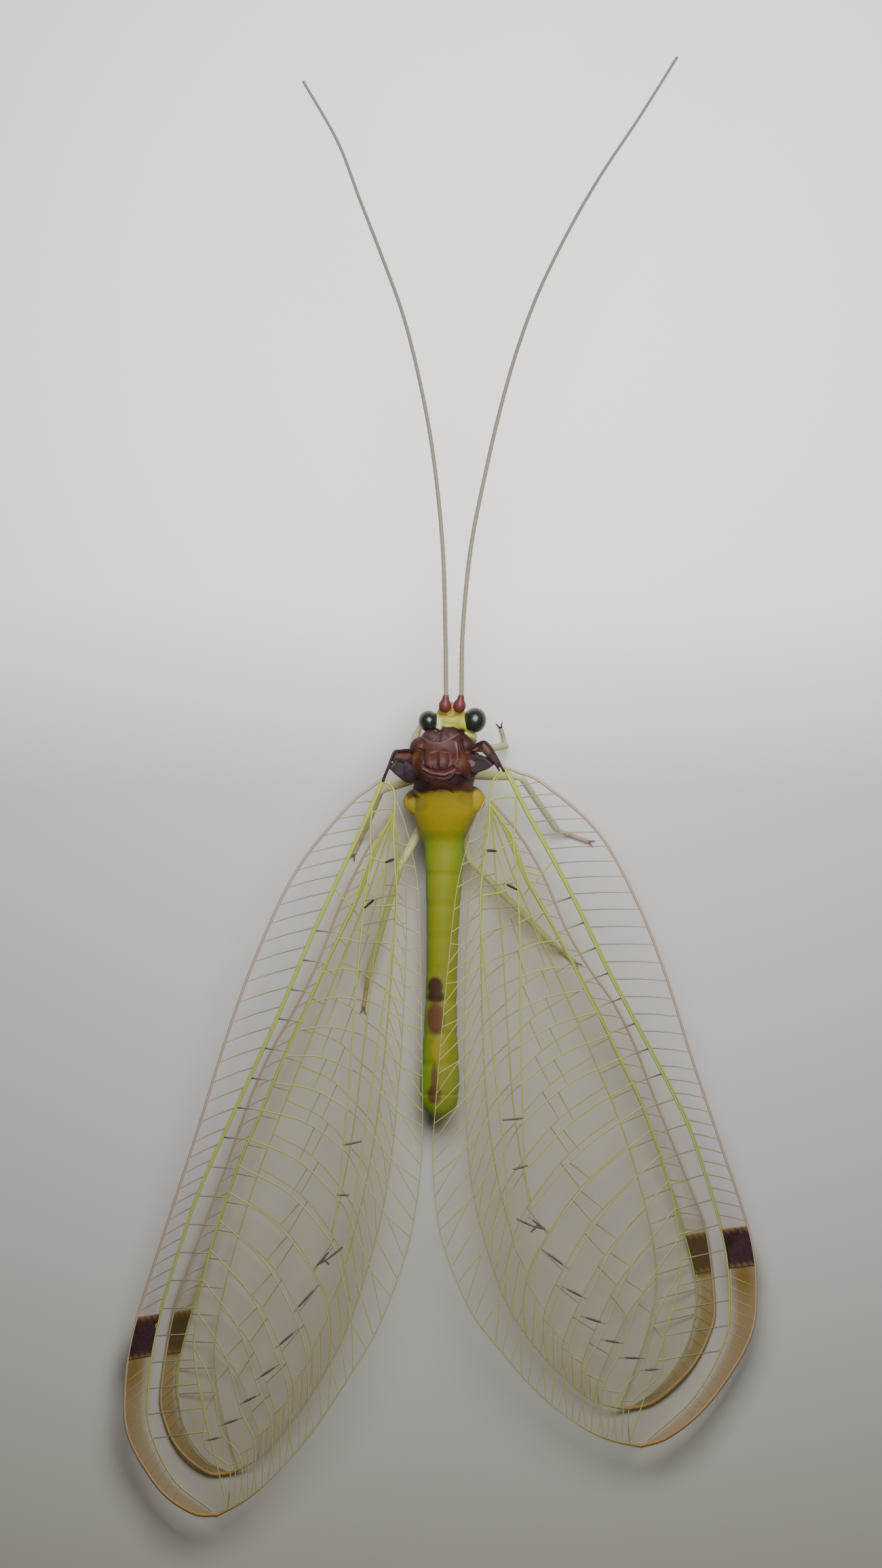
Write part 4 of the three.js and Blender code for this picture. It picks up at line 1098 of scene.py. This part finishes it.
# Wing hinges: folded dark plates that carry each forewing out from the side of the thorax.
# Nearly black outer and inner bars with a brown fold between them, and a dusky web behind, fused together.
HINGE_VOXEL, HINGE_EASING = 0.024, 2
BAR_ROWS, BAR_SIDES, BAR_STROKE, WEB_THICK = 21, 12, 0.065, 0.1
HINGE_BARS = {  # x, y, z and radius along each bar
    "right": [
        [(0.86, 0.96, 3.15, 0.086), (1.02, 1.06, 3.42, 0.072), (1.19, 1.15, 3.60, 0.05),
         (1.36, 1.01, 3.68, 0.047), (1.57, 0.66, 3.72, 0.047), (1.74, 0.34, 3.72, 0.043),
         (1.80, 0.26, 3.70, 0.036)],
        [(1.05, 1.06, 3.52, 0.043), (1.20, 0.84, 3.62, 0.036), (1.40, 0.63, 3.66, 0.032),
         (1.56, 0.42, 3.68, 0.032), (1.66, 0.26, 3.68, 0.029)],
        [(0.22, 0.40, 3.55, 0.043), (0.38, 0.50, 3.58, 0.043), (0.56, 0.59, 3.56, 0.04),
         (0.76, 0.69, 3.55, 0.04), (0.98, 0.75, 3.57, 0.036), (1.22, 0.67, 3.62, 0.036),
         (1.44, 0.51, 3.64, 0.032)],
    ],
    "left": [
        [(-0.92, 0.86, 3.12, 0.086), (-1.12, 0.88, 3.42, 0.065), (-1.32, 0.88, 3.58, 0.05),
         (-1.49, 0.85, 3.66, 0.047), (-1.59, 0.65, 3.70, 0.043), (-1.67, 0.41, 3.72, 0.047),
         (-1.77, 0.16, 3.70, 0.05), (-1.85, -0.05, 3.68, 0.05)],
        [(-1.60, 0.40, 3.68, 0.036), (-1.47, 0.57, 3.66, 0.036), (-1.32, 0.60, 3.62, 0.036),
         (-1.16, 0.55, 3.58, 0.04), (-0.98, 0.41, 3.54, 0.043), (-0.81, 0.24, 3.46, 0.047),
         (-0.66, 0.10, 3.34, 0.05), (-0.56, -0.05, 3.18, 0.05)],
        [(-1.20, 0.50, 3.50, 0.029), (-1.19, 0.18, 3.46, 0.028), (-1.16, -0.06, 3.40, 0.028)],
    ],
}
HINGE_WEBS = {  # corners of each thin web: x, y, z
    "right": [
        [(0.98, 1.04, 3.44), (1.20, 1.12, 3.58), (1.56, 0.66, 3.66), (1.66, 0.30, 3.66),
         (1.40, 0.60, 3.62), (1.16, 0.84, 3.58), (0.80, 0.86, 3.34)],
        [(0.48, 0.50, 3.46), (0.76, 0.66, 3.50), (0.98, 0.72, 3.52), (1.24, 0.64, 3.58),
         (1.48, 0.46, 3.60), (1.30, 0.34, 3.50), (0.92, 0.22, 3.34), (0.62, 0.30, 3.30)],
    ],
    "left": [
        [(-1.02, 0.84, 3.34), (-1.46, 0.82, 3.60), (-1.58, 0.60, 3.66), (-1.44, 0.56, 3.62),
         (-1.16, 0.54, 3.54), (-0.90, 0.50, 3.36)],
        [(-1.66, 0.36, 3.66), (-1.46, 0.54, 3.60), (-1.16, 0.50, 3.54), (-0.98, 0.38, 3.48),
         (-0.80, 0.20, 3.38), (-0.88, -0.02, 3.22), (-1.18, -0.04, 3.36), (-1.44, 0.14, 3.52)],
    ],
}
HINGE_SPOTS = [  # x, y, half wide, half long, colour, lowest height
    (1.24, 0.94, 0.20, 0.18, "#513229", 3.0), (1.48, 0.62, 0.12, 0.16, "#432626", 3.0),
    (0.98, 0.42, 0.42, 0.18, "#382d31", 3.0), (0.78, 0.50, 0.14, 0.10, "#665553", 3.0),
    (-1.22, 0.74, 0.24, 0.12, "#4e2f26", 3.0), (-1.24, 0.26, 0.34, 0.26, "#2f262c", 3.0),
    (0.90, 0.98, 0.12, 0.10, "#66443b", 3.0),
]
hinge_shell = surface("hinge_chitin", 0.55, 0.05, 0.6, 22000, mottle=0.12)


def hinge_paint(at):
    """Nearly black before the spots go on."""
    return np.tile(tint("#2a1b1c"), (len(at), 1))


for side, bars in HINGE_BARS.items():
    hinge_form = bmesh.new()
    for bar in bars:
        run = flowing(bar, BAR_ROWS)
        tube(hinge_form, run[:, :3], run[:, 3], sides=BAR_SIDES)
    for corners in HINGE_WEBS[side]:
        web = hinge_form.faces.new([hinge_form.verts.new(corner) for corner in corners])
        flat_web = bmesh.ops.triangulate(hinge_form, faces=[web])["faces"]
        bmesh.ops.solidify(hinge_form, geom=flat_web, thickness=WEB_THICK)
    hinge = fused(drawn(f"wing_hinge_{side}", hinge_form), HINGE_VOXEL, HINGE_EASING)
    bar_strokes = [([stop[:2] for stop in bar], BAR_STROKE, "#2a1a1a", 3.0, 0) for bar in bars]
    painted(hinge, hinge_paint, HINGE_SPOTS, bar_strokes)
    finished(hinge, hinge_shell)

# Stage: a pale floor with painted shade that darkens it towards the tail, a soft lamp above the head end and
# a faint surround.
# The camera looks straight down on the animal's back.
FLOOR_HALF, FLOOR_ROUGHNESS = 600, 0.9  # half its side in mm
FLOOR_DARK, FLOOR_LIGHT = -24, 6  # y in mm from where to where the painted shade lightens
# Painted shade: the floor's colour runs from the darker stops at the tail end to the light one at the head
# end.
FLOOR_PAINTED_SHADE = [(0.0, "#a39d93"), (0.37, "#aea9a4"), (0.8, "#bab5b2"), (1.0, "#ece7e4")]
floor_form = bmesh.new()
bmesh.ops.create_grid(floor_form, x_segments=1, y_segments=1, size=FLOOR_HALF * MM)
floor = drawn("floor", floor_form)
paper = bpy.data.materials.new("pale_floor_painted_shade")
paper.use_nodes = True
paper_nodes, paper_links = paper.node_tree.nodes, paper.node_tree.links
paper_nodes["Principled BSDF"].inputs["Roughness"].default_value = FLOOR_ROUGHNESS
paper_place = paper_nodes.new("ShaderNodeTexCoord")
paper_split = paper_nodes.new("ShaderNodeSeparateXYZ")
paper_reach = paper_nodes.new("ShaderNodeMapRange")
paper_reach.inputs["From Min"].default_value = FLOOR_DARK * MM
paper_reach.inputs["From Max"].default_value = FLOOR_LIGHT * MM
# This ramp paints shade into the floor's colour, darker towards the tail.
paper_painted_shade = paper_nodes.new("ShaderNodeValToRGB")
shade_stops = paper_painted_shade.color_ramp.elements
for position, _ in FLOOR_PAINTED_SHADE[1:-1]:
    shade_stops.new(position)
for stop, (_, code) in zip(shade_stops, FLOOR_PAINTED_SHADE):
    stop.color = tint(code)
paper_links.new(paper_place.outputs["Object"], paper_split.inputs["Vector"])
paper_links.new(paper_split.outputs["Y"], paper_reach.inputs["Value"])
paper_links.new(paper_reach.outputs["Result"], paper_painted_shade.inputs["Fac"])
paper_links.new(paper_painted_shade.outputs["Color"], paper_nodes["Principled BSDF"].inputs["Base Color"])
floor.data.materials.append(paper)

LAMP_PLACE, LAMP_AIM = Vector((0.004, 0.015, 0.038)), Vector((0.0, 0.010, 0.0))  # m
LAMP_SIZE, LAMP_POWER = 0.028, 0.037  # m and W
SURROUND_STRENGTH = 0.06
lamp = bpy.data.lights.new("key", "AREA")
lamp.size = LAMP_SIZE
lamp.energy = LAMP_POWER
lamp_holder = bpy.data.objects.new("key", lamp)
lamp_holder.location = LAMP_PLACE
lamp_holder.rotation_mode = "QUATERNION"
lamp_holder.rotation_quaternion = (LAMP_AIM - LAMP_PLACE).to_track_quat("-Z", "Y")
bpy.context.scene.collection.objects.link(lamp_holder)
world = bpy.data.worlds.new("surround")
world.use_nodes = True
backdrop = world.node_tree.nodes["Background"]
backdrop.inputs["Color"].default_value = tint("#f2f0f0")
backdrop.inputs["Strength"].default_value = SURROUND_STRENGTH
bpy.context.scene.world = world

CAMERA_HEIGHT = 400.0  # mm above the floor
PICTURE_HIGH, PICTURE_SCALE = 2311, 0.0205  # picture height in pixels, and mm a pixel at the floor
PICTURE_CENTRE = (-0.1025, -0.11275)  # where the picture's middle falls, in mm about the body's middle
view = bpy.data.cameras.new("view")
view.sensor_width = 36
view.lens = view.sensor_width / 2 / (PICTURE_HIGH * PICTURE_SCALE / 2 / CAMERA_HEIGHT)
view.clip_start, view.clip_end = 0.01, 10
camera = bpy.data.objects.new("view", view)
camera.location = (
    (PICTURE_CENTRE[0] + BODY_CENTRE.x) * MM,
    (PICTURE_CENTRE[1] + BODY_CENTRE.y) * MM,
    CAMERA_HEIGHT * MM,
)
bpy.context.scene.collection.objects.link(camera)
bpy.context.scene.camera = camera
